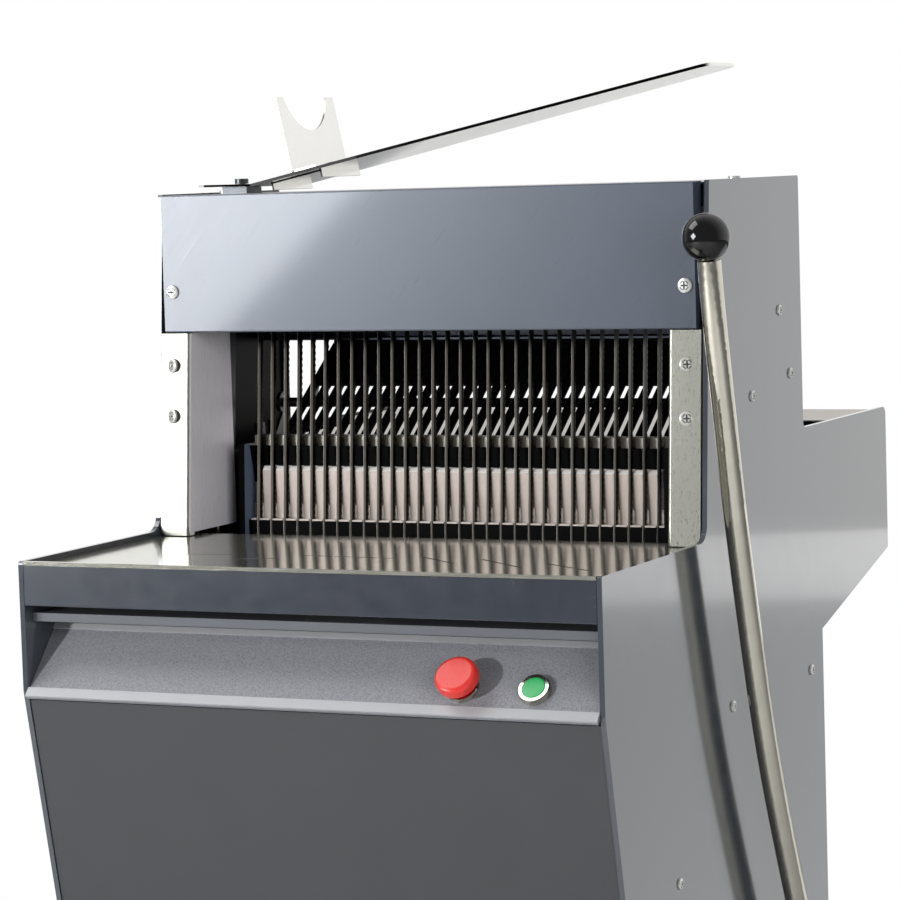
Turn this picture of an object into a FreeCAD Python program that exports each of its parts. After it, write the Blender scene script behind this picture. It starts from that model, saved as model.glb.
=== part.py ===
import FreeCAD, Part
import math
import os
import Sketcher

# Floor-standing bread slicer with two reciprocating blade frames and a hand lever.
# Millimetres. +Z up, +X to the user's right, the user stands at -Y.
# Drawn from the middle of the base on the floor, then moved so that the origin
# is on the floor under the middle of the whole machine's outer box.

# ------------------------------------------------------------------- sizes
WIDTH = 590.0  # over the side plates
PLATE = 5.0  # side plate thickness
TOP = 1200.0  # top of the side plates
LEG = 95.0  # bottom of the side plates above the floor
Y_FRONT = -357.0  # front edge of the table
Y_COLUMN = -70.9  # front edge of the upper body at the top
Y_BACK = 181.7  # rear edge of the upper body
Y_BED = 453.4  # rear edge of the infeed end
Y_REAR = 228.4  # rear edge of the lower body
Z_TABLE = 864.1  # table edge of the side plates
Z_BEND = 741.1  # bend of the front edge
Z_BED = 947.2  # top edge of the infeed end
Z_LOW = 794.7  # lower rear corner of the infeed end
Z_UNDER = 737.0  # underside of the infeed end at the body
SHEET = 2.0  # painted panel thickness
STAINLESS = 1.5  # stainless sheet thickness
SEAM = 0.5  # gap between a panel and a side plate
LEAN = 4.79  # degrees that the blades and the upper front edge lean back
FRONT_SLOPE = 0.2057  # run of the lower front edge per unit of fall
PITCH = 15.0  # slice thickness, blade to blade
BLADE = 0.6  # blade thickness
BLADE_DEPTH = 12.0  # blade depth with its teeth
TOOTH = 6.2  # tooth spacing along a blade
TOOTH_DEPTH = 1.6
Y_BLADE = -24.0  # middle of the blades where they lean from
Z_LEAN = 846.0  # height that the blades lean from
FRAME_DEPTH = 12.0  # blade frame bar, front to back
FRAME_BAR = 24.0  # blade frame bar height
FRAME_OFFSET = 22.0  # middle of a frame from the middle of the blades
Z_FRAME = 788.0  # underside of the blade frames
FRAME_HEIGHT = 337.0
COLUMN_R = 6.0  # guide column radius
FIT = 0.05  # radial running clearance
THROW = 22.0  # crank throw of a blade frame
PIN_R = 7.0  # crank pin radius
Z_CRANK = 650.0  # crank axis along the lean
SHAFT_R = 12.0  # shaft radius
CRANK_PULLEY_R = 75.0
MOTOR_PULLEY_R = 40.0
GROOVE = 9.0  # depth of the pulley grooves
BELT = 8.0  # belt thickness
Y_MOTOR = -80.0
Z_MOTOR = 330.0
MOTOR_R = 66.0
Y_PIVOT = 82.0  # lever axis, front to back
Z_PIVOT = 435.0  # lever axis height
RAIL_DROP = 32.2  # carriage rails below the infeed end's top edge
RAIL_R = 8.0  # carriage rail radius
BAR_R = 11.0  # hand lever bar radius
BALL_R = 22.2  # lever ball radius
LEVER_OUT = 27.0  # hand lever outside the right side plate
PUSHER_REACH = 127.0  # pusher plate, front to back
PUSHER_RISE = 0.7002  # rise of the pusher plate per unit of run
STRIP_TILT = 46.9  # control strip tilt in degrees
STRIP_LEN = 84.2  # control strip width up its slope
STRIP_Y = -361.7  # lower edge of the control strip
STRIP_Z = 736.8
ESTOP_X = 153.0
START_X = 223.0
SWITCH_UP = 30.0  # switches above the strip's lower edge
DRAWER_LOW = 101.0  # drawer front, lower edge
DRAWER_HIGH = 202.0  # drawer front, upper edge
DRAWER_DEPTH = 362.0  # crumb drawer, front to back
DRAWER_HALF = 240.0  # half width of the crumb drawer
WHEEL_R = 37.5
WHEEL_WIDTH = 28.0
WHEEL_X = 250.0
Y_WHEEL = 185.0
FOOT_R = 22.0
FOOT_X = 252.0
Y_FOOT = -180.0
TRAY_TILT = 11.9  # bagging tray slope in degrees
TRAY_LEN = 491.0
TRAY_X = -196.0  # low end of the bagging tray
TRAY_RISE = 8.2  # bagging tray above the side plates at its low end
STOP_HEIGHT = 76.5
BLADES = 30

V = FreeCAD.Vector
doc = FreeCAD.newDocument("bread_slicer")
sheet = doc.addObject("Spreadsheet::Sheet", "dims")
NODES = {}


class Dim:
    """A length with the sheet expression that drives it."""

    def __init__(self, value, text):
        self.v = float(value)
        self.t = text

    def __add__(self, o):
        o = dim(o)
        return Dim(self.v + o.v, "(%s + %s)" % (self.t, o.t))

    def __sub__(self, o):
        o = dim(o)
        return Dim(self.v - o.v, "(%s - %s)" % (self.t, o.t))

    def __mul__(self, o):
        o = dim(o)
        return Dim(self.v * o.v, "(%s * %s)" % (self.t, o.t))

    def __truediv__(self, o):
        o = dim(o)
        return Dim(self.v / o.v, "(%s / %s)" % (self.t, o.t))

    def __neg__(self):
        return Dim(-self.v, "(0 - %s)" % self.t)

    def __radd__(self, o):
        return dim(o) + self

    def __rsub__(self, o):
        return dim(o) - self

    def __rmul__(self, o):
        return dim(o) * self


def dim(x):
    return x if isinstance(x, Dim) else Dim(x, "%.6f" % x)


def driven(name, value):
    """Adds a row to the sheet and returns its Dim."""
    driven.row += 1
    sheet.set("A%d" % driven.row, name)
    sheet.set("B%d" % driven.row, "%g" % value)
    sheet.setAlias("B%d" % driven.row, name)
    return Dim(value, "dims." + name)


driven.row = 0


def bind(obj, prop, x, attr=None):
    """Sets a property and binds it to the sheet when x comes from the sheet."""
    x = dim(x)
    if attr is not None:
        setattr(obj, attr, x.v)
    if "dims." in x.t:
        obj.setExpression(prop, x.t)
    return x.v


width = driven("width", WIDTH)
plate = driven("plate", PLATE)
top = driven("top", TOP)
leg = driven("leg", LEG)
y_front = driven("yfront", Y_FRONT)
y_column = driven("ycolumn", Y_COLUMN)
y_back = driven("yback", Y_BACK)
y_bed = driven("ybed", Y_BED)
y_rear = driven("yrear", Y_REAR)
z_table = driven("ztable", Z_TABLE)
z_bend = driven("zbend", Z_BEND)
z_bed = driven("zbed", Z_BED)
z_low = driven("zlow", Z_LOW)
z_under = driven("zunder", Z_UNDER)
skin = driven("sheet", SHEET)
steel = driven("stainless", STAINLESS)
seam = driven("seam", SEAM)
pitch = driven("pitch", PITCH)
blade = driven("blade", BLADE)
blade_depth = driven("bladedepth", BLADE_DEPTH)
y_blade = driven("yblade", Y_BLADE)
frame_depth = driven("framedepth", FRAME_DEPTH)
frame_bar = driven("framebar", FRAME_BAR)
frame_offset = driven("frameoffset", FRAME_OFFSET)
z_frame = driven("zframe", Z_FRAME)
frame_height = driven("frameheight", FRAME_HEIGHT)
column_r = driven("columnradius", COLUMN_R)
fit = driven("fit", FIT)
throw = driven("throw", THROW)
pin_r = driven("pinradius", PIN_R)
z_crank = driven("zcrank", Z_CRANK)
shaft_r = driven("shaftradius", SHAFT_R)
y_motor = driven("ymotor", Y_MOTOR)
z_motor = driven("zmotor", Z_MOTOR)
motor_r = driven("motorradius", MOTOR_R)
y_pivot = driven("ypivot", Y_PIVOT)
z_pivot = driven("zpivot", Z_PIVOT)
rail_drop = driven("raildrop", RAIL_DROP)
rail_r = driven("railradius", RAIL_R)
bar_r = driven("barradius", BAR_R)
ball_r = driven("ballradius", BALL_R)
lever_out = driven("leverout", LEVER_OUT)
pusher_reach = driven("pusherreach", PUSHER_REACH)
pusher_rise = driven("pusherrise", PUSHER_RISE)
strip_tilt = driven("striptilt", STRIP_TILT)
strip_len = driven("striplength", STRIP_LEN)
strip_y = driven("stripfront", STRIP_Y)
strip_z = driven("stripheight", STRIP_Z)
estop_x = driven("estopside", ESTOP_X)
start_x = driven("startside", START_X)
switch_up = driven("switchup", SWITCH_UP)
drawer_low = driven("drawerlow", DRAWER_LOW)
drawer_high = driven("drawerhigh", DRAWER_HIGH)
drawer_depth = driven("drawerdepth", DRAWER_DEPTH)
drawer_half = driven("drawerhalf", DRAWER_HALF)
wheel_r = driven("wheelradius", WHEEL_R)
wheel_width = driven("wheelwidth", WHEEL_WIDTH)
wheel_x = driven("wheelside", WHEEL_X)
y_wheel = driven("ywheel", Y_WHEEL)
foot_r = driven("footradius", FOOT_R)
foot_x = driven("footside", FOOT_X)
y_foot = driven("yfoot", Y_FOOT)
tray_tilt = driven("traytilt", TRAY_TILT)
tray_len = driven("traylength", TRAY_LEN)
tray_x = driven("trayside", TRAY_X)
tray_rise = driven("trayrise", TRAY_RISE)
stop_height = driven("stopheight", STOP_HEIGHT)
doc.recompute()

# Stations from the middle to one side, outermost first
inner = width / 2 - plate  # inner face of a side plate
flush = inner - seam  # end of the panels between the plates
column_x = inner - 11
rail_out, rail_in = inner - 20, inner - 28  # uprights of a blade frame
mouth_x = inner - 34  # inner edge of the stainless uprights
arm_out, arm_in = inner - 36, inner - 45  # fork arms of the lever
cheek_out, cheek_in = inner - 47.3, inner - 50.3  # cheeks of the pusher carriage
bed_x = inner - 52
comb_x = inner - 56
outer_blade = pitch * (BLADES - 1) / 2

# Heights that follow one another
lean_slope = math.tan(math.radians(LEAN))
cover_z = top - 138  # lower edge of the front cover
bed_top = z_bed - 3.2
z_rail = z_bed - rail_drop
table_top_z = z_table - 5.6
bar_low = (z_frame, z_frame + frame_bar)
bar_high = (z_frame + frame_height - frame_bar - 1, z_frame + frame_height)

FRAMES = {"YZ": ("YZ_Plane", 1), "XZ": ("XZ_Plane", -1), "XY": ("XY_Plane", 1)}


# ------------------------------------------------------------------ builders
def keep(name, obj):
    """Makes obj the finished sub-part with this node name."""
    obj.Label = name
    NODES[name] = obj
    return obj


def outline(sketch, pts):
    """Closed polygon with every corner placed by constraints."""
    first = sketch.GeometryCount
    n = len(pts)
    for i in range(n):
        a, b = (V(dim(u).v, dim(v).v, 0) for u, v in (pts[i], pts[(i + 1) % n]))
        sketch.addGeometry(Part.LineSegment(a, b), False)
    for i in range(n):
        sketch.addConstraint(Sketcher.Constraint("Coincident", first + i, 2, first + (i + 1) % n, 1))
    for i in range(n):
        for kind, x in zip(("DistanceX", "DistanceY"), pts[i]):
            x = dim(x)
            c = sketch.addConstraint(Sketcher.Constraint(kind, -1, 1, first + i, 1, x.v))
            if "dims." in x.t:
                sketch.setExpression("Constraints[%d]" % c, x.t)


def ring(sketch, u, v, r):
    """Circle placed by constraints."""
    u, v, r = dim(u), dim(v), dim(r)
    g = sketch.addGeometry(Part.Circle(V(u.v, v.v, 0), V(0, 0, 1), r.v), False)
    for kind, x in (("DistanceX", u), ("DistanceY", v)):
        c = sketch.addConstraint(Sketcher.Constraint(kind, -1, 1, g, 3, x.v))
        if "dims." in x.t:
            sketch.setExpression("Constraints[%d]" % c, x.t)
    c = sketch.addConstraint(Sketcher.Constraint("Radius", g, r.v))
    if "dims." in r.t:
        sketch.setExpression("Constraints[%d]" % c, r.t)


def prism(name, plane, pts, lo, hi, holes=(), cuts=(), rounds=()):
    """Sketch on an origin plane, padded from lo to hi along the plane's axis."""
    role, way = FRAMES[plane]
    lo, hi = dim(lo), dim(hi)
    body = doc.addObject("PartDesign::Body", name)
    sk = body.newObject("Sketcher::SketchObject", name + "_sketch")
    origin = [o for o in body.Origin.OriginFeatures if getattr(o, "Role", "") == role][0]
    sk.AttachmentSupport = [(origin, "")]
    sk.MapMode = "FlatFace"
    start = lo if way > 0 else -hi
    sk.AttachmentOffset = FreeCAD.Placement(V(0, 0, start.v), FreeCAD.Rotation())
    bind(sk, ".AttachmentOffset.Base.z", start)
    outline(sk, pts)
    for c in cuts:
        outline(sk, c)
    for u, v, r in holes:
        ring(sk, u, v, r)
    pad = body.newObject("PartDesign::Pad", name + "_pad")
    pad.Profile = sk
    bind(pad, "Length", hi - lo, "Length")
    last = pad
    if rounds:
        doc.recompute()
        pick = {"YZ": lambda p: (p.y, p.z), "XZ": lambda p: (p.x, p.z), "XY": lambda p: (p.x, p.y)}[plane]
        by_r = {}
        for u, v, r in rounds:
            by_r.setdefault(r, []).append((dim(u).v, dim(v).v))
        for r, spots in by_r.items():
            names = []
            for i, e in enumerate(last.Shape.Edges, 1):
                if len(e.Vertexes) != 2:
                    continue
                a, b = (pick(w.Point) for w in e.Vertexes)
                if math.dist(a, b) < 0.01 and any(math.dist(a, s) < 0.2 for s in spots):
                    names.append("Edge%d" % i)
            f = body.newObject("PartDesign::Fillet", "%s_round" % name)
            f.Base = (last, names)
            f.Radius = r
            last = f
            doc.recompute()
    return body


def box(name, x0, x1, y0, y1, z0, z1):
    b = doc.addObject("Part::Box", name)
    at = [dim(x0).v, dim(y0).v, dim(z0).v]
    b.Placement = FreeCAD.Placement(V(*at), FreeCAD.Rotation())
    for axis, lo, hi, size in (("x", x0, x1, "Length"), ("y", y0, y1, "Width"), ("z", z0, z1, "Height")):
        bind(b, ".Placement.Base." + axis, lo)
        bind(b, size, dim(hi) - lo, size)
    return b


TURN = {
    "X": FreeCAD.Rotation(V(0, 1, 0), 90), "Y": FreeCAD.Rotation(V(1, 0, 0), -90), "Z": FreeCAD.Rotation()}


def rod(name, axis, u, v, r, lo, hi):
    """Cylinder along an axis; u, v are the two other coordinates in XYZ order."""
    c = doc.addObject("Part::Cylinder", name)
    spot = {"X": (lo, u, v), "Y": (u, lo, v), "Z": (u, v, lo)}[axis]
    c.Placement = FreeCAD.Placement(V(*[dim(s).v for s in spot]), TURN[axis])
    for k, s in zip("xyz", spot):
        bind(c, ".Placement.Base." + k, s)
    bind(c, "Radius", r, "Radius")
    bind(c, "Height", dim(hi) - lo, "Height")
    return c


def fuse(name, parts):
    f = doc.addObject("Part::MultiFuse", name)
    f.Shapes = parts
    f.Refine = True
    return f


def cut(name, base, tools):
    tool = tools[0] if len(tools) == 1 else fuse(name + "_tools", tools)
    c = doc.addObject("Part::Cut", name)
    c.Base, c.Tool = base, tool
    return c


def group(name, parts):
    g = doc.addObject("Part::Compound", name)
    g.Links = parts
    return g


def both(make):
    """Calls make for the left (-1) and the right (+1) side."""
    return [make(-1), make(1)]


def span(s, a, b):
    """X range from a to b away from the middle on side s."""
    a, b = dim(a), dim(b)
    return (a, b) if s > 0 else (-b, -a)


def slab(name, s, a, b, y0, y1, z0, z1):
    x0, x1 = span(s, a, b)
    return box(name, x0, x1, y0, y1, z0, z1)


def side_prism(name, s, a, b, pts, **kw):
    x0, x1 = span(s, a, b)
    return prism(name, "YZ", pts, x0, x1, **kw)


def turned(name, axis, spot, pts, rounds=()):
    """Revolves a closed outline of (radius, along) points about an axis through spot."""
    body = doc.addObject("PartDesign::Body", name)
    sk = body.newObject("Sketcher::SketchObject", name + "_sketch")
    origin = [o for o in body.Origin.OriginFeatures if getattr(o, "Role", "") == "XZ_Plane"][0]
    sk.AttachmentSupport = [(origin, "")]
    sk.MapMode = "FlatFace"
    outline(sk, pts)
    last = body.newObject("PartDesign::Revolution", name + "_turn")
    last.Profile = sk
    last.ReferenceAxis = (sk, ["V_Axis"])
    last.Angle = 360
    for r, along, size in rounds:
        doc.recompute()
        names = []
        for i, e in enumerate(last.Shape.Edges, 1):
            if hasattr(e.Curve, "Center"):
                at = (e.Curve.Radius, e.Curve.Center.z)
                if math.dist(at, (dim(r).v, dim(along).v)) < 0.01:
                    names.append("Edge%d" % i)
        f = body.newObject("PartDesign::Fillet", name + "_round")
        f.Base = (last, names)
        f.Radius = size
        last = f
    body.Placement = FreeCAD.Placement(V(*[dim(s).v for s in spot]), TURN[axis])
    for k, s in zip("xyz", spot):
        bind(body, ".Placement.Base." + k, s)
    return body


def column_y(z):
    """Front edge of the side plates' upper body at height z."""
    return y_column - (top - z) * lean_slope


def front_y(z):
    """Lower front edge of the side plates at height z."""
    return y_front + (z_bend - z) * FRONT_SLOPE


def blade_x(i):
    return pitch * (i - (BLADES - 1) / 2)


lean_at = FreeCAD.Placement(V(0, 0, 0), FreeCAD.Rotation(V(1, 0, 0), -LEAN), V(0, Y_BLADE, Z_LEAN))


def on_lean(obj):
    """Leans a piece that is drawn upright back with the blades."""
    obj.Placement = lean_at.multiply(obj.Placement)
    return obj


def leaned(y, z):
    """Where a point that is drawn upright comes to lie."""
    p = lean_at.multVec(V(0, dim(y).v, dim(z).v))
    return p.y, p.z


# --------------------------------------------------------------- side plates
SCREW_HOLE = 3.2
SCREW_R = 3.0
SIDE_SCREWS = [
    (y_back - 65.4, top - 131.3), (y_back - 36.8, top - 195.4), (y_back - 149, top - 209.7),
    (y_front + 317, z_bend - 41), (y_rear - 38, z_bend - 41), (y_front + 167, z_bend - 181),
    (y_rear - 38, leg + 205), (y_front + 187, leg + 85)]
edge = [
    (y_column, top), (y_back, top), (y_back, z_bed), (y_bed, z_bed), (y_bed, z_low), (y_rear, z_under),
    (y_rear, leg), (front_y(leg), leg), (y_front, z_bend), (y_front, z_table), (column_y(z_table), z_table)]
corners = [(0, 3), (1, 3), (2, 6), (3, 9), (4, 3), (9, 3), (10, 18)]
plate_holes = [(y_pivot, z_pivot, shaft_r + 2)] + [(y, z, SCREW_HOLE) for y, z in SIDE_SCREWS]
for s, name in ((-1, "side_plate_left"), (1, "side_plate_right")):
    rounds = [(*edge[i], r) for i, r in corners]
    keep(name, side_prism(name, s, inner, inner + plate, edge, holes=plate_holes, rounds=rounds))


def side_screw(s, y, z):
    head = rod("head", "X", y, z, 5.5, *span(s, inner + plate, inner + plate + 2.5))
    shank = rod("shank", "X", y, z, SCREW_R, *span(s, inner, inner + plate))
    return fuse("side_screw", [head, shank])


keep("side_screws", group("side_screws", [side_screw(s, y, z) for s in (-1, 1) for y, z in SIDE_SCREWS]))

# --------------------------------------------------------- covers and panels
cover_y = y_column - 13.6  # face of the front cover
cover_x = flush - 5.5  # its half width
side_x = cover_x - skin
cover_top = top - 1
cover_pts = [
    (cover_y, cover_z), (cover_y + 16, cover_z), (cover_y + 16, cover_z + skin),
    (cover_y + skin, cover_z + skin), (cover_y + skin, cover_top - skin),
    (cover_y + 22, cover_top - skin), (cover_y + 22, cover_top), (cover_y, cover_top)]
cover_rounds = [(cover_y, cover_z, 1.5), (cover_y, cover_top, 1.5)]
cover = fuse("front_cover_sheet", [
    prism("cover_skin", "YZ", cover_pts, -cover_x, cover_x, rounds=cover_rounds),
    *both(lambda s: slab("cover_side", s, side_x, cover_x, cover_y + 1, cover_y + 21, cover_z + 1, top - 2)),
    *both(lambda s: slab("cover_tab", s, side_x, flush, cover_y + 19, cover_y + 21, cover_z + 23, top - 25))])
screw_at = (cover_x - 10, cover_z + 40.5)
cover_holes = both(
    lambda s: rod("hole", "Y", s * screw_at[0], screw_at[1], SCREW_HOLE, cover_y - 5, cover_y + 5))
keep("front_cover", cut("front_cover", cover, cover_holes))

roof_front = cover_y + 24.5
panel_back = y_back - 2.2
thin = flush - skin  # inner face of a side flange
keep("roof_panel", fuse("roof_panel", [
    box("roof_top", -flush, flush, roof_front, panel_back - 0.5, top - 4, top - 4 + skin),
    *both(lambda s: slab("roof_side", s, thin, flush, roof_front, panel_back - 3.5, top - 24, top - 3))]))
rear_z = cover_z - 22  # lower edge of the rear cover, over the loaf
lip_y, skin_y = y_back - 31.7, panel_back - 1.5
keep("rear_cover", fuse("rear_cover", [
    box("rear_skin", -flush, flush, panel_back - skin, panel_back, rear_z, top - 4),
    box("rear_lip", -flush, flush, lip_y, skin_y, rear_z, rear_z + skin),
    *both(lambda s: slab("rear_side", s, thin, flush, lip_y + 13, skin_y, rear_z + 1, top - 26)),
    *both(lambda s: slab("rear_leg", s, cover_x, flush, skin_y - 2, skin_y, bed_top + 2, rear_z + 1))]))

# stainless uprights either side of the mouth: leaning front flange and inner return
z_up, z_dn = cover_z - 1, z_table - 4.7
upright_screws = [cover_z - 33, cover_z - 83.5]
screw_x = inner - 15.5
wall_back = y_blade + 22


def upright(name, s):
    """Sheet folded once: the flange follows the plate's edge and the return runs into the mouth."""
    yt, yb = column_y(z_up) - 1.7, column_y(z_dn) - 1.7
    flange_pts = [(yt, z_up), (yb, z_dn), (yb + steel, z_dn), (yt + steel, z_up)]
    wall_pts = [
        (yt, z_up), (yb, z_dn), (yb + 10, z_dn), (yb + 12, z_dn + 3), (wall_back, z_dn + 3),
        (wall_back, z_up)]
    flange = side_prism(name + "_flange", s, mouth_x, inner - 1.5, flange_pts)
    wall = side_prism(name + "_return", s, mouth_x, mouth_x + steel, wall_pts)
    drill = [rod("h", "Y", s * screw_x, z, SCREW_HOLE, yb - 18, yt + 20) for z in upright_screws]
    x0, x1 = span(s, inner - 7.5, inner)
    square = box("c", x0, x1, yb - 12, yb + 3, z_dn - 1, z_dn + 6)
    corner = cut(name + "_corner", square, [rod("r", "Y", s * (inner - 7.5), z_dn + 6, 6, yb - 13, yb + 4)])
    return cut(name, fuse(name + "_sheet", [flange, wall]), drill + [corner])


for s, name in ((-1, "upright_left"), (1, "upright_right")):
    keep(name, upright(name, s))


def front_screw(x, y, z, tip):
    """Domed screw whose head faces the user, tipped from upright by tip degrees."""
    pts = [(0, -6), (SCREW_R, -6), (SCREW_R, 0), (7, 0), (7, 2), (5.6, 3.2), (0, 3.2)]
    screw = turned("front_screw", "Z", (x, y, z), pts)
    screw.Placement = FreeCAD.Placement(screw.Placement.Base, FreeCAD.Rotation(V(1, 0, 0), tip))
    return screw


heads = [front_screw(s * screw_at[0], cover_y, screw_at[1], 90) for s in (-1, 1)]
heads += [front_screw(s * screw_x, column_y(z) - 1.75, z, 90 - LEAN) for s in (-1, 1) for z in upright_screws]
keep("front_screws", group("front_screws", heads))
roof_screw_y = y_column + 111.9
keep("roof_screws", group("roof_screws", [
    rod("roof_screw", "Z", s * column_x, roof_screw_y, 6, top - 2, top + 2) for s in (-1, 1)]))

# ------------------------------------------------------------ table and apron
TABLE_SLOTS = [
    (-186, 121, -136, 130), (-117, 101, -76, 108), (-64, 135, 33, 129),
    (51, 148, 106, 104), (120, 137, 180, 88), (192, 119, 250, 78)]
SLOT_WIDTH = 3.0
table_back = y_column + 0.9


def slot(x0, y0, x1, y1):
    """Long narrow rectangle between two points, given back from the table's front edge."""
    run = math.dist((x0, y0), (x1, y1))
    u, v = (x1 - x0) / run * SLOT_WIDTH / 2, (y1 - y0) / run * SLOT_WIDTH / 2
    y0, y1 = y_front + y0, y_front + y1
    return [(x0 + v, y0 - u), (x1 + v, y1 - u), (x1 - v, y1 + u), (x0 - v, y0 + u)]


table_pts = [(-flush, y_front + 3.5), (flush, y_front + 3.5), (flush, table_back), (-flush, table_back)]
table_z = (table_top_z - steel, table_top_z)
keep("table_top", fuse("table_top", [
    prism("table_sheet", "XY", table_pts, *table_z, cuts=[slot(*q) for q in TABLE_SLOTS]),
    box("table_riser", -flush, flush, y_front + 3, y_front + 3 + steel, table_z[0], z_table),
    box("table_nose", -flush, flush, y_front, y_front + 4, z_table - 3.5, z_table),
    box("table_rear_lip", -flush, flush, table_back - steel, table_back, z_table - 18, table_z[1])]))
apron_low, apron_high = z_table - 42, z_table - 3.9
keep("apron", prism("apron", "YZ", [
    (y_front, apron_low), (y_front + 14, apron_low), (y_front + 14, apron_low + skin),
    (y_front + skin, apron_low + skin), (y_front + skin, apron_high - 5.7), (y_front + 25, apron_high - 5.7),
    (y_front + 25, apron_high - 3.7), (y_front + 1.8, apron_high - 3.7), (y_front + 1.8, apron_high),
    (y_front, apron_high)],
    -flush, flush, rounds=[(y_front, apron_low, 1.2)]))

# --------------------------------------------------------------- control strip
tilt = math.radians(STRIP_TILT)
strip_at = FreeCAD.Placement(V(0, STRIP_Y, STRIP_Z), FreeCAD.Rotation(V(1, 0, 0), STRIP_TILT))
STRIP_T = 3.0
ESTOP_R, ESTOP_DOME, ESTOP_OUT = 20.0, 4.5, 24.0
START_R = 11.0
STEM_R = 9.0


def on_strip(obj):
    """Puts a piece drawn flat on the tilted control strip; local z points outward."""
    obj.Placement = strip_at.multiply(obj.Placement)
    return obj


switches = ((estop_x, switch_up), (start_x, switch_up))
strip_holes = [rod("h", "Z", x, y, 11.3, -STRIP_T - 2, 2) for x, y in switches]
strip = box("strip", -flush, flush, 0, strip_len, -STRIP_T, 0)
keep("control_panel", on_strip(cut("control_panel", strip, strip_holes)))
keep("panel_trims", on_strip(group("panel_trims", [
    box("trim_low", -flush, flush, 0, 10, 0, 2.2),
    box("trim_high", -flush, flush, strip_len - 6, strip_len, 0, 1.8)])))


def bezel(x, outside, inside, high):
    pts = [(inside, 0), (outside, 0), (outside, high - 1), (outside - 1, high), (inside, high)]
    return turned("bezel", "Z", (x, switch_up, 0), pts)


keep("switch_bezels", on_strip(group("switch_bezels", [
    bezel(estop_x, 15.5, STEM_R + FIT, 4), bezel(start_x, 15, START_R + FIT, 6.5)])))
estop_pts = [(0, -22), (STEM_R, -22), (STEM_R, 13), (ESTOP_R, 13), (ESTOP_R, ESTOP_OUT), (0, ESTOP_OUT)]
start_pts = [(0, -16), (8, -16), (8, 2.5), (START_R, 2.5), (START_R, 7), (0, 7)]
estop_rounds = [(ESTOP_R, ESTOP_OUT, ESTOP_DOME), (ESTOP_R, 13, 1.5)]
keep("estop_button", on_strip(group("estop_button", [
    turned("estop", "Z", (estop_x, switch_up, 0), estop_pts, estop_rounds)])))
keep("start_button", on_strip(group("start_button", [
    turned("start", "Z", (start_x, switch_up, 0), start_pts, [(START_R, 7, 1.2)])])))


def contact_block(x, z):
    """Switch body behind the strip, seated on the strip's back by a collar."""
    case = box("case", x - 15, x + 15, switch_up - 18, switch_up + 22, z - 40, z)
    seat_z = -STRIP_T - 0.2
    pts = [(11.3, z - 1), (14, z - 1), (14, seat_z), (11.3, seat_z)]
    return fuse("contacts", [case, turned("collar", "Z", (x, switch_up, 0), pts)])


keep("contact_blocks", on_strip(group("contact_blocks", [
    contact_block(estop_x, -27), contact_block(start_x, -20)])))
strip_back = STRIP_Y + STRIP_LEN * math.cos(tilt)
strip_high = STRIP_Z + STRIP_LEN * math.sin(tilt)
keep("recess_panel", prism("recess_panel", "YZ", [
    (y_front + 13, apron_low - 16), (y_front + 14.5, apron_low - 16), (y_front + 14.5, apron_low - 10),
    (strip_back + 4, apron_low - 10), (strip_back + 4, strip_high - 6), (strip_back + 6, strip_high - 6),
    (strip_back + 6, apron_low - 8), (y_front + 13, apron_low - 8)],
    -flush, flush))

# ----------------------------------------------------------- lower body panels
def slant(z, back=0):
    """Face of the lower front, or a plane behind it."""
    return front_y(z) + 1.5 + back


def slanted(name, low, high, x):
    pts = [(slant(high), high), (slant(low), low), (slant(low, skin), low), (slant(high, skin), high)]
    return prism(name, "YZ", pts, -x, x)


keep("front_panel", slanted("front_panel", drawer_high + 3, strip_z - 3.8, flush))
vents = [[(-70, z), (70, z), (70, z + 6), (-70, z + 6)] for z in range(280, 400, 20)]
rear_pts = [(-flush, leg + 3), (flush, leg + 3), (flush, z_under - 1), (-flush, z_under - 1)]
keep("rear_panel", prism("rear_panel", "XZ", rear_pts, y_rear - 2.9, y_rear - 0.9, cuts=vents))
keep("rear_housing", prism("rear_housing", "YZ", [
    (y_rear + 0.1, z_under + 2.5), (y_bed - 1.4, z_low + 2.3), (y_bed - 1.4, z_bed - 5.7),
    (y_bed - 3.4, z_bed - 5.7), (y_bed - 3.4, z_low + 3.8), (y_rear + 0.1, z_under + 4.5)], -flush, flush))
pan_front = front_y(leg) + 2.1
keep("base_pan", fuse("base_pan", [
    box("pan", -flush, flush, pan_front, y_rear - 1.4, leg, leg + 3),
    *both(lambda s: slab("pan_side", s, thin, flush, pan_front + 7, y_rear - 4.4, leg + 2, leg + 25))]))
keep("control_box", group("control_box", [
    box("control_case", -flush, 130 - inner, y_front + 107, y_front + 187, strip_z - 177, strip_z - 47)]))

# --------------------------------------------------------------- crumb drawer
GRIP_HALF = 70.0
grip_z = (DRAWER_LOW + DRAWER_HIGH) / 2 + 8.5
grip_y = slant(grip_z).v - 26
drawer_y = slant(drawer_low, skin).v + 10
pan = (-drawer_half, drawer_half, drawer_y, drawer_y + drawer_depth, drawer_low + 5, drawer_high - 16)
wall = 1.5


def grip_post(s):
    x0, x1 = span(s, GRIP_HALF - 10, GRIP_HALF - 4)
    return box("grip_post", x0, x1, grip_y + 4, slant(grip_z, 1), grip_z - 5, grip_z + 5)


keep("drawer_front", fuse("drawer_front", [
    slanted("drawer_skin", drawer_low, drawer_high, inner - 3),
    rod("grip", "X", grip_y, grip_z, 6, -GRIP_HALF, GRIP_HALF), *both(grip_post)]))
hollow = box("hollow", pan[0] + wall, pan[1] - wall, pan[2] + wall, pan[3] - wall, pan[4] + wall, pan[5] + 4)
tongue_z = drawer_low + 17
keep("crumb_drawer", fuse("crumb_drawer", [
    cut("crumb_shell", box("shell", *pan), [hollow]),
    box("drawer_tongue", -60, 60, slant(tongue_z, skin), pan[2] + 1, tongue_z, tongue_z + 12)]))


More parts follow.
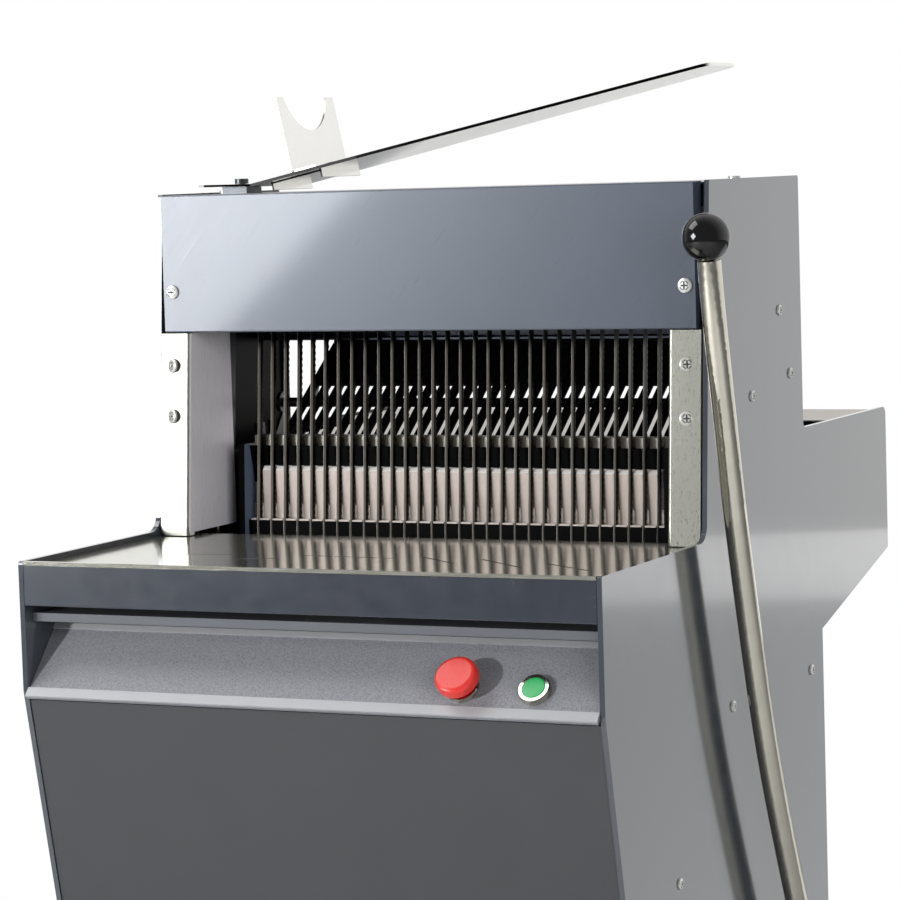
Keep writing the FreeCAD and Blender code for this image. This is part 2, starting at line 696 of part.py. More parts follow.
def runner(s):
    x0, x1 = span(s, drawer_half - 60, drawer_half - 4)
    return box("runner", x0, x1, pan[2] + 7, pan[3] + 10, leg + 3, pan[4] - 0.3)


keep("drawer_runners", group("drawer_runners", both(runner)))

# -------------------------------------------------------- feet and rear wheels
AXLE_R = 5.0


def foot(s):
    """Levelling foot: pad, threaded stem and lock nut under the pan."""
    pts = [(0, 0), (foot_r, 0), (foot_r, 6), (8, 14), (6, 14), (6, leg - 12), (11, leg - 12), (11, leg)]
    pts.append((0, leg))
    return turned("foot", "Z", (s * foot_x, y_foot, 0), pts)


def fork(s):
    """Wheel fork under the pan with its fixed axle."""
    x = s * wheel_x
    half = wheel_width / 2
    solids = [
        box("fork_plate", x - half - 18, x + half + 18, y_wheel - 35, y_wheel + 35, leg - 4, leg),
        rod("axle", "X", y_wheel, wheel_r, AXLE_R, x - half - 3, x + half + 3)]
    for a in (half + 2, -half - 5):
        solids.append(box("cheek", x + a, x + a + 3, y_wheel - 17, y_wheel + 17, wheel_r - 9.5, leg - 3))
    return fuse("fork", solids)


def wheel(name, s):
    """Nylon wheel with a hub, a thin web and a rounded tread."""
    w = wheel_width / 2
    half = [(AXLE_R + FIT, -w), (14, -w), (14, 6 - w), (28, 6 - w), (28, -w)]
    half += [(wheel_r - 3, -w), (wheel_r, 3 - w)]
    return turned(name, "X", (s * wheel_x, y_wheel, wheel_r), half + [(r, -a) for r, a in reversed(half)])


keep("front_feet", group("front_feet", both(foot)))
keep("wheel_forks", group("wheel_forks", both(fork)))
for s, name in ((-1, "wheel_left"), (1, "wheel_right")):
    keep(name, group(name, [wheel(name + "_turned", s)]))

# ------------------------------------------------------- infeed bed and combs
SLIT = 4.0  # clear width at a blade in the bed
PUSHER_SLIT = 5.2  # clear width between the pusher's fingers
blade_back = y_blade + blade_depth / 2
bed_front = y_blade + 15.4
bar_y = y_blade + 48


def blade_gaps(which, half, y0, y1, z0, z1):
    return [box("gap", blade_x(i) - half, blade_x(i) + half, y0, y1, z0, z1) for i in which]


flange_y, flange_z = (bed_front + 4, y_back + 118), (bed_top - 19, bed_top - 1)
bed_sheet = fuse("bed_sheet", [
    box("bed_front", -bed_x, bed_x, bed_front, y_bed - 3.4, bed_top - steel, bed_top),
    box("bed_rear", -flush, flush, y_back + 123, y_bed - 3.4, bed_top - steel, bed_top),
    *both(lambda s: slab("bed_flange", s, bed_x - steel, bed_x, *flange_y, *flange_z))])
bed_gaps = blade_gaps(range(BLADES), SLIT / 2, bed_front - 5, bed_front + 27, bed_top - 9, bed_top + 6)
rear_half = outer_blade + 10
rear_bar = box("rear_bar", -rear_half, rear_half, bed_front, bed_front + 19, bed_top - 0.5, bed_top + 8.6)
rear_gaps = blade_gaps(range(BLADES), 2.4, bed_front - 5, bed_front + 15, bed_top - 2, bed_top + 10)
keep("infeed_bed", fuse("infeed_bed", [
    cut("bed_slotted", bed_sheet, bed_gaps), cut("rear_comb", rear_bar, rear_gaps)]))


def rail_end(s, y):
    """Block on the side plate that holds one end of a carriage rail."""
    return slab("rail_end", s, rail_in, flush, y, y + 8, z_rail - 18, z_rail + 18)


rail_y = (y_blade + 46, y_back + 114)  # both ends of the carriage rails
keep("bed_supports", group("bed_supports", [
    box("bar", -flush, flush, bar_y, bar_y + 10, bed_top - 72, bed_top - 52),
    box("bar", -flush, flush, y_back + 140, y_back + 155, bed_top - 38, bed_top - steel - 0.2),
    *[rail_end(s, y) for s in (-1, 1) for y in (rail_y[0] - 8, rail_y[1])]]))

comb_low, comb_high = z_table + 5.4, bed_top - 22
comb_y = y_blade + 6  # face of the comb's teeth
comb_back = y_blade + 18
teeth = prism("comb_block", "YZ", [
    (comb_y, comb_low), (comb_y, comb_high - 4), (comb_y + 3.5, comb_high), (comb_back, comb_high),
    (comb_back, comb_low)], -outer_blade, outer_blade)
between = blade_gaps(range(BLADES), 2.8, comb_y - 10, comb_back - 4, comb_low - 2, comb_high + 8)
foot_gaps = blade_gaps(range(BLADES), 1.8, comb_y - 10, comb_back - 4, comb_low - 20, comb_low + 2)
foot_half = outer_blade + 8
comb_foot = box("comb_foot", -foot_half, foot_half, comb_y - 9, comb_back, comb_low - 1.5, comb_low)
keep("front_comb", fuse("front_comb", [
    cut("comb_teeth", teeth, between), cut("comb_lip", comb_foot, foot_gaps),
    box("comb_bar", -comb_x, comb_x, comb_back - 7.5, comb_back, comb_low, comb_low + 13.5),
    box("comb_rib", -comb_x, comb_x, comb_back - 4, comb_back, comb_low, comb_low + 35)]))
sole_gaps = blade_gaps(range(BLADES), 1.8, comb_y - 10, comb_back - 4, z_table - 20, comb_low + 2)
comb_sole = box("comb_sole", -comb_x, comb_x, comb_y - 9, comb_back, z_table - 14, comb_low - 1.5)
guard = box("guard", -comb_x, comb_x, y_blade + 19, y_blade + 20.5, bed_top - 51, bed_top - steel)
keep("blade_guards", group("blade_guards", [cut("comb_base", comb_sole, sole_gaps), guard]))
cheek_pts = [
    (y_blade - 5, z_table - 2), (y_blade, bed_top - 4), (y_blade + 8, bed_top - 4),
    (y_blade + 27, comb_low + 6.5), (bar_y, comb_low + 6.5), (bar_y, z_table - 2)]
keep("comb_cheeks", group("comb_cheeks", both(
    lambda s: side_prism("comb_cheek", s, comb_x, comb_x + 2, cheek_pts))))

# --------------------------------------------------------------- blade frames
# Drawn upright and then leaned back as one group with their drive
CRANK_WEB_R = 31.0
YOKE_X = 22.0  # the two crank pins from the middle
TAB = 4.0


def blade_frame(name, way):
    """Welded frame in front of (-1) or behind (1) the blades, with a slotted yoke under it."""
    middle = y_blade + way * frame_offset
    y0, y1 = middle - frame_depth / 2, middle + frame_depth / 2
    near = middle - way * (frame_depth / 2 - 0.5)
    tab = sorted((near, y_blade + way * blade_depth / 2), key=lambda d: d.v)
    x0, x1 = sorted((way * YOKE_X - 5, way * YOKE_X + 5))
    solids = [box("bar", -rail_out + 2, rail_out - 2, y0, y1, *z) for z in (bar_high, bar_low)]
    solids += both(lambda s: slab("rail", s, rail_in, rail_out, y0, y1, bar_low[0], bar_high[1]))
    for z0, z1 in ((bar_high[0] - 5, bar_high[1]), (bar_low[0], bar_low[1] + 6)):
        solids += both(lambda s: slab("shoe", s, rail_out - 2, inner - 3, middle - 9, middle + 9, z0, z1))
    for i in range(way > 0, BLADES, 2):
        x = blade_x(i)
        solids += [box("tab", x - TAB, x + TAB, *tab, z0 + 4, z1 - 4) for z0, z1 in (bar_high, bar_low)]
    solids.append(box("stem", x0, x1, y0, y1, z_crank + 10, bar_low[0] + 2))
    yoke = throw + pin_r + 13
    solids.append(box("yoke", x0, x1, y_blade - yoke, y_blade + yoke, z_crank - 18, z_crank + 18))
    bores = [rod("b", "Z", s * column_x, middle, column_r + fit, z_frame - 188, top - 20) for s in (-1, 1)]
    half, reach = pin_r + 0.65, throw + pin_r + 3
    slot_y = (y_blade - reach, y_blade + reach)
    bores.append(box("slot", x0 - 1, x1 + 1, *slot_y, z_crank - half, z_crank + half))
    return on_lean(cut(name, fuse(name + "_welded", solids), bores))


def toothed(z0, z1):
    """Side view of a blade: plain front edge, teeth along the rear edge between the bars."""
    front, back = (y_blade - blade_depth / 2).v, blade_back.v
    first = bar_low[1].v + 8
    count = int((bar_high[0].v - 8 - first) / TOOTH)
    points = [V(0, front, z0), V(0, back, z0), V(0, back, first)]
    for k in range(count):
        points.append(V(0, back - TOOTH_DEPTH, first + (k + 0.5) * TOOTH))
        points.append(V(0, back, first + (k + 1) * TOOTH))
    points += [V(0, back, z1), V(0, front, z1)]
    return Part.Face(Part.makePolygon(points + points[:1]))


def blade_set(name, start):
    """Every other blade, cut from strip steel with teeth on the loaf's side."""
    one = toothed(bar_low[0].v + 6, bar_high[1].v - 6).extrude(V(blade.v, 0, 0))
    shapes = []
    for i in range(start, BLADES, 2):
        piece = one.copy()
        piece.translate(V((blade_x(i) - blade / 2).v, 0, 0))
        shapes.append(piece)
    row = doc.addObject("Part::Feature", name)
    row.Shape = Part.makeCompound(shapes)
    return on_lean(row)


keep("blade_frame_a", blade_frame("blade_frame_a", -1))
keep("blade_frame_b", blade_frame("blade_frame_b", 1))
keep("blades_a", blade_set("blades_a", 0))
keep("blades_b", blade_set("blades_b", 1))
BRACKET = 12.0
bracket_low = z_frame - 46
bracket_high = z_frame + frame_height + 25
column_ys = (y_blade - frame_offset, y_blade + frame_offset)
keep("guide_columns", on_lean(group("guide_columns", [
    rod("column", "Z", s * column_x, y, column_r, bracket_low + BRACKET, bracket_high)
    for s in (-1, 1) for y in column_ys])))
keep("column_brackets", on_lean(group("column_brackets", [
    slab("bracket", s, rail_in, flush, column_ys[0] - 14, column_ys[1] + 12, z, z + BRACKET)
    for s in (-1, 1) for z in (bracket_low, bracket_high)])))

# ---------------------------------------------------------------- crank drive
PULLEY = (106.0, 126.0)  # both pulleys, left to right
BEARING_X = (-98.0, 62.0)
pin_x = (YOKE_X - 12, YOKE_X + 12)
keep("crankshaft", on_lean(fuse("crankshaft", [
    rod("journal", "X", y_blade, z_crank, shaft_r, -112, -40),
    rod("journal", "X", y_blade, z_crank, shaft_r, 40, 138),
    *[rod("web", "X", y_blade, z_crank, CRANK_WEB_R, *x) for x in ((-44, -33), (-11, 11), (33, 44))],
    rod("pin", "X", y_blade - throw, z_crank, pin_r, -pin_x[1], -pin_x[0]),
    rod("pin", "X", y_blade + throw, z_crank, pin_r, *pin_x)])))


def bearing(x):
    """Pillow block on the drive beam."""
    half = shaft_r + 12
    housing = box("housing", x, x + 28, y_blade - half, y_blade + half, z_crank - 80, z_crank + half)
    return cut("bearing", housing, [rod("bore", "X", y_blade, z_crank, shaft_r + fit, x - 1, x + 29)])


def beam_corners(half, low, high):
    return [(y_blade + a, z_crank + b) for a, b in ((-half, low), (half, low), (half, high), (-half, high))]


keep("crank_bearings", on_lean(group("crank_bearings", [bearing(BEARING_X[0]), bearing(BEARING_X[1])])))
beam = prism("beam", "YZ", beam_corners(24, -110, -80), -flush, flush, cuts=[beam_corners(20, -106, -84)])
keep("drive_beam", on_lean(group("drive_beam", [beam])))
crank_y, crank_z = leaned(y_blade, z_crank)


def pulley(name, y, z, r, bore):
    """Belt pulley with a groove, and a thinned web where it is large."""
    wide = PULLEY[1] - PULLEY[0]
    pts = [(bore, 0)]
    if r > 50:
        pts += [(24, 0), (24, 6), (r - GROOVE - 8, 6), (r - GROOVE - 8, 0)]
    pts += [(r, 0), (r, 4), (r - GROOVE, 4)]
    return turned(name, "X", (PULLEY[0], y, z), pts + [(a, wide - b) for a, b in reversed(pts)])


keep("crank_pulley", group("crank_pulley", [
    pulley("crank_wheel", crank_y, crank_z, CRANK_PULLEY_R, shaft_r)]))
MOTOR_SHAFT_R = 9.0
keep("motor_pulley", fuse("motor_pulley", [
    pulley("motor_wheel", y_motor, z_motor, MOTOR_PULLEY_R, MOTOR_SHAFT_R),
    rod("motor_shaft", "X", y_motor, z_motor, MOTOR_SHAFT_R, 74, PULLEY[1] + 4)]))
foot_z = z_motor - motor_r - 8
motor_case = turned("motor_case", "X", (-150, y_motor, z_motor), [
    (0, 0), (motor_r - 4, 0), (motor_r - 4, 42), (motor_r, 42), (motor_r, 200), (motor_r - 8, 200),
    (motor_r - 8, 222), (0, 222)])
motor_body = fuse("motor_body", [
    motor_case, box("feet", -90, 40, y_motor - 60, y_motor + 60, foot_z, foot_z + 5.5),
    box("foot_block", -80, 30, y_motor - 50, y_motor + 50, foot_z + 4, z_motor - 40),
    box("terminal_box", -60, 10, y_motor - 40, y_motor + 30, z_motor + 50, z_motor + motor_r + 26)])
keep("motor", cut("motor", motor_body, [
    rod("shaft_hole", "X", y_motor, z_motor, MOTOR_SHAFT_R + FIT, 60, 80),
    rod("recess", "X", y_motor, z_motor, MOTOR_SHAFT_R + 3, 69, 75)]))
shelf = (y_motor - 70, y_motor + 70)
keep("motor_plate", fuse("motor_plate", [
    box("plate", -flush, flush, *shelf, foot_z - 6, foot_z),
    *both(lambda s: slab("flange", s, flush - 4, flush, *shelf, foot_z - 26, foot_z - 4))]))


def belt_loop(y0, z0, r0, y1, z1, r1):
    """Closed outline of an open belt round two circles, in the belt's left plane."""
    run = math.dist((y0, z0), (y1, z1))
    base = math.atan2(z1 - z0, y1 - y0)
    wrap = math.acos((r0 - r1) / run)

    def point(y, z, r, angle):
        return V(PULLEY[0] + 5, y + r * math.cos(angle), z + r * math.sin(angle))

    p, q = point(y0, z0, r0, base + wrap), point(y1, z1, r1, base + wrap)
    r, s = point(y1, z1, r1, base - wrap), point(y0, z0, r0, base - wrap)
    return Part.Wire([
        Part.makeLine(p, q), Part.Arc(q, point(y1, z1, r1, base), r).toShape(), Part.makeLine(r, s),
        Part.Arc(s, point(y0, z0, r0, base + math.pi), p).toShape()])


def belt(thick):
    """Loop that lies in both grooves, with half a millimetre under it."""
    r0, r1 = (r - GROOVE + 0.5 for r in (CRANK_PULLEY_R, MOTOR_PULLEY_R))
    outer = Part.Face(belt_loop(crank_y, crank_z, r0 + thick, Y_MOTOR, Z_MOTOR, r1 + thick))
    face = outer.cut(Part.Face(belt_loop(crank_y, crank_z, r0, Y_MOTOR, Z_MOTOR, r1)))
    return face.extrude(V(PULLEY[1] - PULLEY[0] - 10, 0, 0)).Solids[0]


loop = doc.addObject("Part::Feature", "drive_belt")
loop.Shape = belt(BELT)
keep("drive_belt", loop)

# ------------------------------------------------- hand lever and its shaft
# The bar's bend, back and up from the lever's axis
BEND = [
    (0, 0), (-33.9, 68.3), (-107.3, 231.1), (-145.6, 347), (-175.4, 449.5), (-203, 565),
    (-217.6, 628.5), (-230, 692.8)]
BALL_AT = (-236.3, 713.8)
HUB_R = 24.0
x_lever = inner + plate + lever_out
hub_end = x_lever + 13
spine = Part.BSplineCurve()
spine.interpolate([V(x_lever.v, Y_PIVOT + y, Z_PIVOT + z) for y, z in BEND])
tangent = spine.tangent(spine.FirstParameter)[0]
rim = Part.Wire(Part.makeCircle(BAR_R, spine.value(spine.FirstParameter), tangent))
bar = doc.addObject("Part::Feature", "lever_curve")
bar.Shape = Part.Wire(spine.toShape()).makePipeShell([rim], True, False)
hub = rod("lever_hub", "X", y_pivot, z_pivot, HUB_R, inner + plate + 6, hub_end)
hub_hole = rod("h", "X", y_pivot, z_pivot, shaft_r, inner, hub_end + 7)
keep("lever_bar", cut("lever_bar", fuse("lever_body", [bar, hub]), [hub_hole]))
ball = doc.addObject("Part::Sphere", "ball")
for k, value in zip("xyz", (x_lever, y_pivot + BALL_AT[0], z_pivot + BALL_AT[1])):
    bind(ball, ".Placement.Base." + k, value)
bind(ball, "Radius", ball_r, "Radius")
keep("lever_ball", cut("lever_ball", ball, [bar]))

PIN_Y = 60.0  # carriage pin at rest
CARRIAGE_PIN_R = 7.0
ARM_SLOT = 11.5  # half width of the fork's slot
reach = math.atan2(PIN_Y - Y_PIVOT, z_rail.v - Z_PIVOT)  # arm angle at rest, from upright
arm_len = math.hypot(PIN_Y - Y_PIVOT, z_rail.v - Z_PIVOT)


def arm_point(along, across):
    """Point on a lever arm: distance up the arm and to its rear side."""
    y = Y_PIVOT + along * math.sin(reach) + across * math.cos(reach)
    return y, Z_PIVOT + along * math.cos(reach) - across * math.sin(reach)


def fork_arm(s):
    """Arm on the lever's shaft with an open slot for the carriage pin."""
    half = [(0, 20), (arm_len - 35, 12), (arm_len - 18, 19), (arm_len + 47, 19)]
    pts = [arm_point(a, -c) for a, c in half] + [arm_point(a, c) for a, c in reversed(half)]
    body = side_prism("arm", s, arm_in, arm_out, pts)
    ends = (arm_len - 12.5, arm_len + 60)
    mouth = [(ends[0], -ARM_SLOT), (ends[1], -ARM_SLOT), (ends[1], ARM_SLOT), (ends[0], ARM_SLOT)]
    slot_cut = side_prism("arm_slot", s, arm_in - 5, arm_out + 5, [arm_point(*q) for q in mouth])
    boss = rod("boss", "X", y_pivot, z_pivot, HUB_R + 2, *span(s, arm_in - 5, arm_out + 5))
    return fuse("fork_arm", [cut("forked", body, [slot_cut]), boss])


outside = inner + plate
keep("lever_shaft", fuse("lever_shaft", [
    rod("shaft", "X", y_pivot, z_pivot, shaft_r, -outside - 1, hub_end),
    rod("collar", "X", y_pivot, z_pivot, shaft_r + 7, -outside - 4.5, -outside - 0.4), *both(fork_arm)]))


def lever_bearing(s):
    block = slab("block", s, inner - 26, inner, y_pivot - 30, y_pivot + 30, z_pivot - 30, z_pivot + 30)
    bore = rod("bore", "X", y_pivot, z_pivot, shaft_r + fit, *span(s, inner - 30, inner + 5))
    return cut("bush", block, [bore])


keep("lever_bearings", group("lever_bearings", both(lever_bearing)))

# ------------------------------------------------------------ pusher carriage
FINGER = 3.5  # pusher plate, front to back
pusher_y, pusher_z = y_blade + 46, bed_top + 4
pusher_x = outer_blade - PUSHER_SLIT / 2
tie_y, tie_z = pusher_y + 58, pusher_z + 31.5
far = (pusher_y + pusher_reach, pusher_z + pusher_reach * pusher_rise)
plate_pts = [(pusher_y, pusher_z), (pusher_y + FINGER, pusher_z), (far[0] + FINGER, far[1]), far]
face = prism("pusher_face", "YZ", plate_pts, -pusher_x, pusher_x)
finger_gap = PUSHER_SLIT / 2
slits = blade_gaps(range(1, BLADES - 1), finger_gap, pusher_y - 5, pusher_y + 71, pusher_z - 5, pusher_z + 60)
keep("pusher_plate", cut("pusher_plate", face, slits))


def seat(y):
    """Point just under the pusher plate."""
    return y, pusher_z + (y - pusher_y - FINGER) * pusher_rise - 0.2


def carriage_side(s):
    """Cheek up to the tie rod, guide block on the rail, fork pin and its lug, and the plate's rib."""
    cheek_points = [
        (PIN_Y - 20, z_rail - 15), (PIN_Y + 30, z_rail - 15), (PIN_Y + 32, bed_top + 6),
        (tie_y + 10, tie_z - 7), (tie_y, tie_z - 7), (PIN_Y + 2, bed_top + 6), (PIN_Y - 20, z_rail + 10)]
    rib_points = [(tie_y - 6, tie_z), (tie_y + 6, tie_z), seat(tie_y + 16), seat(tie_y - 8)]
    return [
        side_prism("cheek", s, cheek_in, cheek_out, cheek_points),
        rod("eye", "X", tie_y, tie_z, 11, *span(s, cheek_in - 0.5, cheek_out + 1)),
        side_prism("rib", s, pusher_x - 10, pusher_x - 7, rib_points),
        slab("block", s, rail_in, inner - 2, PIN_Y - 28, PIN_Y + 28, z_rail - 16, z_rail + 16),
        rod("pin", "X", PIN_Y, z_rail, CARRIAGE_PIN_R, *span(s, cheek_in, rail_in + 1)),
        slab("lug", s, cheek_out - 1, rail_in + 1, PIN_Y + 22, PIN_Y + 28, z_rail - 19, z_rail - 12)]


solids = [piece for s in (-1, 1) for piece in carriage_side(s)]
solids.append(rod("tie", "X", tie_y, tie_z, 5, -cheek_out, cheek_out))
rail_bores = both(lambda s: rod("bore", "Y", s * (inner - 16), z_rail, rail_r + fit, PIN_Y - 40, PIN_Y + 40))
keep("pusher_carriage", cut("pusher_carriage", fuse("carriage", solids), rail_bores))
keep("carriage_rails", group("carriage_rails", both(
    lambda s: rod("rail", "Y", s * (inner - 16), z_rail, rail_r, *rail_y))))

# --------------------------------------------------------------- bagging tray
TRAY_T = 3.0
TRAY_HALF = 60.0  # half width at the low end
TRAY_TIP = 39.0  # half width at the high end
TRAY_Y = 2.0
PIVOT_X = -238.0
PIVOT_R = 5.0
tray_z = top + tray_rise
tray_at = FreeCAD.Placement(V(TRAY_X, TRAY_Y, tray_z.v), FreeCAD.Rotation(V(0, 1, 0), -TRAY_TILT))


def on_tray(obj):
    """Puts a piece drawn flat on the sloping tray; local z is off its top face."""
    obj.Placement = tray_at.multiply(obj.Placement)
    return obj


dish_pts = [
    (0, -TRAY_HALF), (120, 2 - TRAY_HALF), (tray_len, -TRAY_TIP), (tray_len, TRAY_TIP), (120, TRAY_HALF - 2),
    (0, TRAY_HALF)]
dish_rounds = [(tray_len, -TRAY_TIP, 12), (tray_len, TRAY_TIP, 12)]
dish = on_tray(prism("tray_dish", "XY", dish_pts, -TRAY_T, 0, rounds=dish_rounds))
channel_cut = box("i", 16, 70, -45, 45, -12, -4)
channel = on_tray(cut("tray_channel", box("o", 14, 72, -42, 42, -10, -TRAY_T + 0.5), [channel_cut]))
leaf_x = tray_x + 1.5
leaf_pts = [
    (PIVOT_X - 40, TRAY_Y - 18), (PIVOT_X - 24, TRAY_Y - 36), (leaf_x, TRAY_Y - TRAY_HALF),
    (leaf_x, TRAY_Y + TRAY_HALF), (PIVOT_X - 24, TRAY_Y + 36), (PIVOT_X - 40, TRAY_Y + 18)]
leaf = prism("tray_leaf", "XY", leaf_pts, tray_z - 2.2, tray_z, holes=[(PIVOT_X, TRAY_Y, PIVOT_R + FIT)])
keep("bag_tray", fuse("bag_tray", [dish, channel, leaf]))
NOTCH = 48.8  # radius of the bow in the stop plate's top
stop_plate = box("stop", 48, 50, -TRAY_HALF - 2, TRAY_HALF + 2, 0, stop_height)
notched = cut("stop_plate", stop_plate, [rod("u", "X", 0, stop_height + 14.8, NOTCH, 40, 60)])
keep("tray_stop", on_tray(fuse("tray_stop", [
    notched, box("stop_foot", 49, 76, -TRAY_HALF, TRAY_HALF, 0, 2), rod("stop_bolt", "Z", 64, 0, 5, 1, 6)])))
keep("tray_pivot", group("tray_pivot", [fuse("pivot", [
    box("block", PIVOT_X - 14, PIVOT_X + 14, TRAY_Y - 16, TRAY_Y + 16, top - 2, tray_z - 2.5),
    rod("bolt", "Z", PIVOT_X, TRAY_Y, PIVOT_R, tray_z - 3.2, tray_z + 1.8),
    rod("bolt_head", "Z", PIVOT_X, TRAY_Y, PIVOT_R + 2, tray_z + 0.3, tray_z + 5.3)])]))

# -------------------------------------------------------------------- export
doc.recompute()
# The whole machine reaches from the lever shaft's left collar to the lever ball,
# and from the emergency stop's rim to the infeed end.
x_mid = (x_lever + ball_r - outside - 4.5) / 2
dome = (ESTOP_R - ESTOP_DOME) * math.cos(tilt) + (ESTOP_OUT - ESTOP_DOME) * math.sin(tilt) + ESTOP_DOME
y_mid = round((Y_BED + STRIP_Y + SWITCH_UP * math.cos(tilt) - dome) / 2, 1)
for o in NODES.values():
    o.Placement = FreeCAD.Placement(V(-x_mid.v, -y_mid, 0), FreeCAD.Rotation()).multiply(o.Placement)
doc.recompute()
bad = [o.Name for o in doc.Objects if "Invalid" in o.State or "Error" in o.State]
bad += [name for name, o in NODES.items() if o.Shape.isNull() or not o.Shape.isValid() or not o.Shape.Solids]
if bad:
    raise RuntimeError("broken: " + ", ".join(bad))
os.makedirs("parts", exist_ok=True)
for old in os.listdir("parts"):
    if old.endswith(".step") and old[:-5] not in NODES:
        os.remove(os.path.join("parts", old))
for name, o in NODES.items():
    o.Shape.exportStep("parts/%s.step" % name)
    b = o.Shape.BoundBox
    print("%-18s %2d solids" % (name, len(o.Shape.Solids)), "x %.1f %.1f  y %.1f %.1f  z %.1f %.1f" % (
        b.XMin, b.XMax, b.YMin, b.YMax, b.ZMin, b.ZMax))
print(len(NODES), "nodes", "middle %.2f %.2f" % (x_mid.v, y_mid))
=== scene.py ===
import math

import bmesh
import bpy
from mathutils import Matrix, Vector


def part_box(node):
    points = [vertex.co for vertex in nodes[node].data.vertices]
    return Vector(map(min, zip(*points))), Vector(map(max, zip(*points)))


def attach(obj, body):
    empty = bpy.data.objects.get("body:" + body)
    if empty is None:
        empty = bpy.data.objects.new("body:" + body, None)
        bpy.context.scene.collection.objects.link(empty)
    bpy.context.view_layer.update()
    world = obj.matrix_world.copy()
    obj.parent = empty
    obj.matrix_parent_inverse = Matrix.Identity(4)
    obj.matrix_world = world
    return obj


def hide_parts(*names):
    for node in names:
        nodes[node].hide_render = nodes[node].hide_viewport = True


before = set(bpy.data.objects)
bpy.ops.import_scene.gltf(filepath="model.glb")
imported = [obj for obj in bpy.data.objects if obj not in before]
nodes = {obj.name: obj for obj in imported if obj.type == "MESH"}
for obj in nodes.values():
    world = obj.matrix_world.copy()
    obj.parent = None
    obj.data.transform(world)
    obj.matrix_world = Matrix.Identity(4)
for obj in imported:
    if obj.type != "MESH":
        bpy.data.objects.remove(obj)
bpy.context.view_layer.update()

# ------------------------------------------------------------------ datum
# Sizes below are millimetres: X from the side plates' middle plane, Z up from the floor.
BASE_MIDDLE = Vector((22.35, 41.4, 0))  # middle of the whole part's box on the floor, the part's origin


def mm(x, y, z):
    """A place in millimetres, as metres from the part's origin."""
    return (Vector((x, y, z)) - BASE_MIDDLE) / 1000


SIDES = (-1, 1)  # left and right
BLADE_PITCH, BLADES = 15, 30
LEAN = math.radians(4.79)  # the blades and the uprights lean back
LEAN_Y, LEAN_Z = -24, 846  # point on its middle line that each blade leans about
TRAY_TILT = math.radians(11.9)  # the bagging tray rises to the right
MOUTH_EDGE = 256  # from the middle to the uprights' folded edges
QUARTER = math.radians(90)


# -------------------------------------------------------------- materials
def linear(code):
    """sRGB hex to linear RGBA."""
    parts = [int(code[i:i + 2], 16) / 255 for i in (0, 2, 4)]
    return [c / 12.92 if c <= 0.04045 else ((c + 0.055) / 1.055) ** 2.4 for c in parts] + [1.0]


def add(tree, kind, settings=(), **links):
    """Adds a node. settings holds properties and unlinked inputs, links holds inputs fed by sockets."""
    n = tree.nodes.new(kind)
    for name, value in dict(settings).items():
        if isinstance(name, int) or name in n.inputs.keys():
            n.inputs[name].default_value = value
        else:
            setattr(n, name, value)
    for name, socket in links.items():
        key = name.replace("_", " ")
        spot = n.inputs[int(key[1:])] if key[0] == "i" and key[1:].isdigit() else n.inputs[key]
        tree.links.new(socket, spot)
    return n


def surface(name, colour, rough, metal=0.0, **more):
    """A material with one principled shader; also gives its tree, its shader and the place on the piece."""
    m = bpy.data.materials.new(name)
    m.use_nodes = True
    tree = m.node_tree
    shader = tree.nodes["Principled BSDF"]
    shader.inputs["Base Color"].default_value = linear(colour)
    shader.inputs["Roughness"].default_value = rough
    shader.inputs["Metallic"].default_value = metal
    for key, value in more.items():
        shader.inputs[key.replace("_", " ")].default_value = value
    coords = add(tree, "ShaderNodeTexCoord")
    return m, tree, shader, coords.outputs["Object"]


def parts_of(material):
    """A material's tree and its shader."""
    return material.node_tree, material.node_tree.nodes["Principled BSDF"]


def grain(tree, place, size, stretch=(1, 1, 1), detail=3.0):
    """Random grains about size millimetres wide, longer where stretch is above 1; place is in metres."""
    real = add(tree, "ShaderNodeVectorMath", {"operation": "SCALE", "Scale": 1000.0}, Vector=place)
    cells = add(tree, "ShaderNodeVectorMath", {"operation": "DIVIDE", 1: [size * s for s in stretch]},
                Vector=real.outputs[0])
    settings = {"Scale": 1.0, "Detail": detail, "Roughness": 0.6}
    return add(tree, "ShaderNodeTexNoise", settings, Vector=cells.outputs[0]).outputs["Fac"]


def ramp(low, high, start=0.3, end=0.7):
    """Settings that take start..end to low..high, and hold the ends beyond."""
    return {"From Min": start, "From Max": end, "To Min": low, "To Max": high}


def relief(depth_mm, strength):
    """Settings for relief depth_mm deep."""
    return {"Strength": strength, "Distance": depth_mm / 1000}


def toned(tree, shader, fac, tone):
    """Takes the base colour to another tone where fac is 1."""
    spot = shader.inputs["Base Color"]
    settings = {"data_type": "RGBA", 6: list(spot.default_value), 7: linear(tone)}
    mix = add(tree, "ShaderNodeMix", settings, i0=fac)
    if spot.is_linked:
        tree.links.new(spot.links[0].from_socket, mix.inputs[6])
    tree.links.new(mix.outputs[2], spot)


def look_along(tree, axis):
    """How far a face looks along axis in the object's own space, from -1 to 1."""
    coords = add(tree, "ShaderNodeTexCoord")
    settings = {"operation": "DOT_PRODUCT", 1: axis}
    return add(tree, "ShaderNodeVectorMath", settings, Vector=coords.outputs["Normal"]).outputs["Value"]


def facing(tree, axis, start, end):
    """1 where a face looks along axis by end or more, 0 where it does by start or less."""
    return add(tree, "ShaderNodeMapRange", ramp(0, 1, start, end), Value=look_along(tree, axis)).outputs[0]


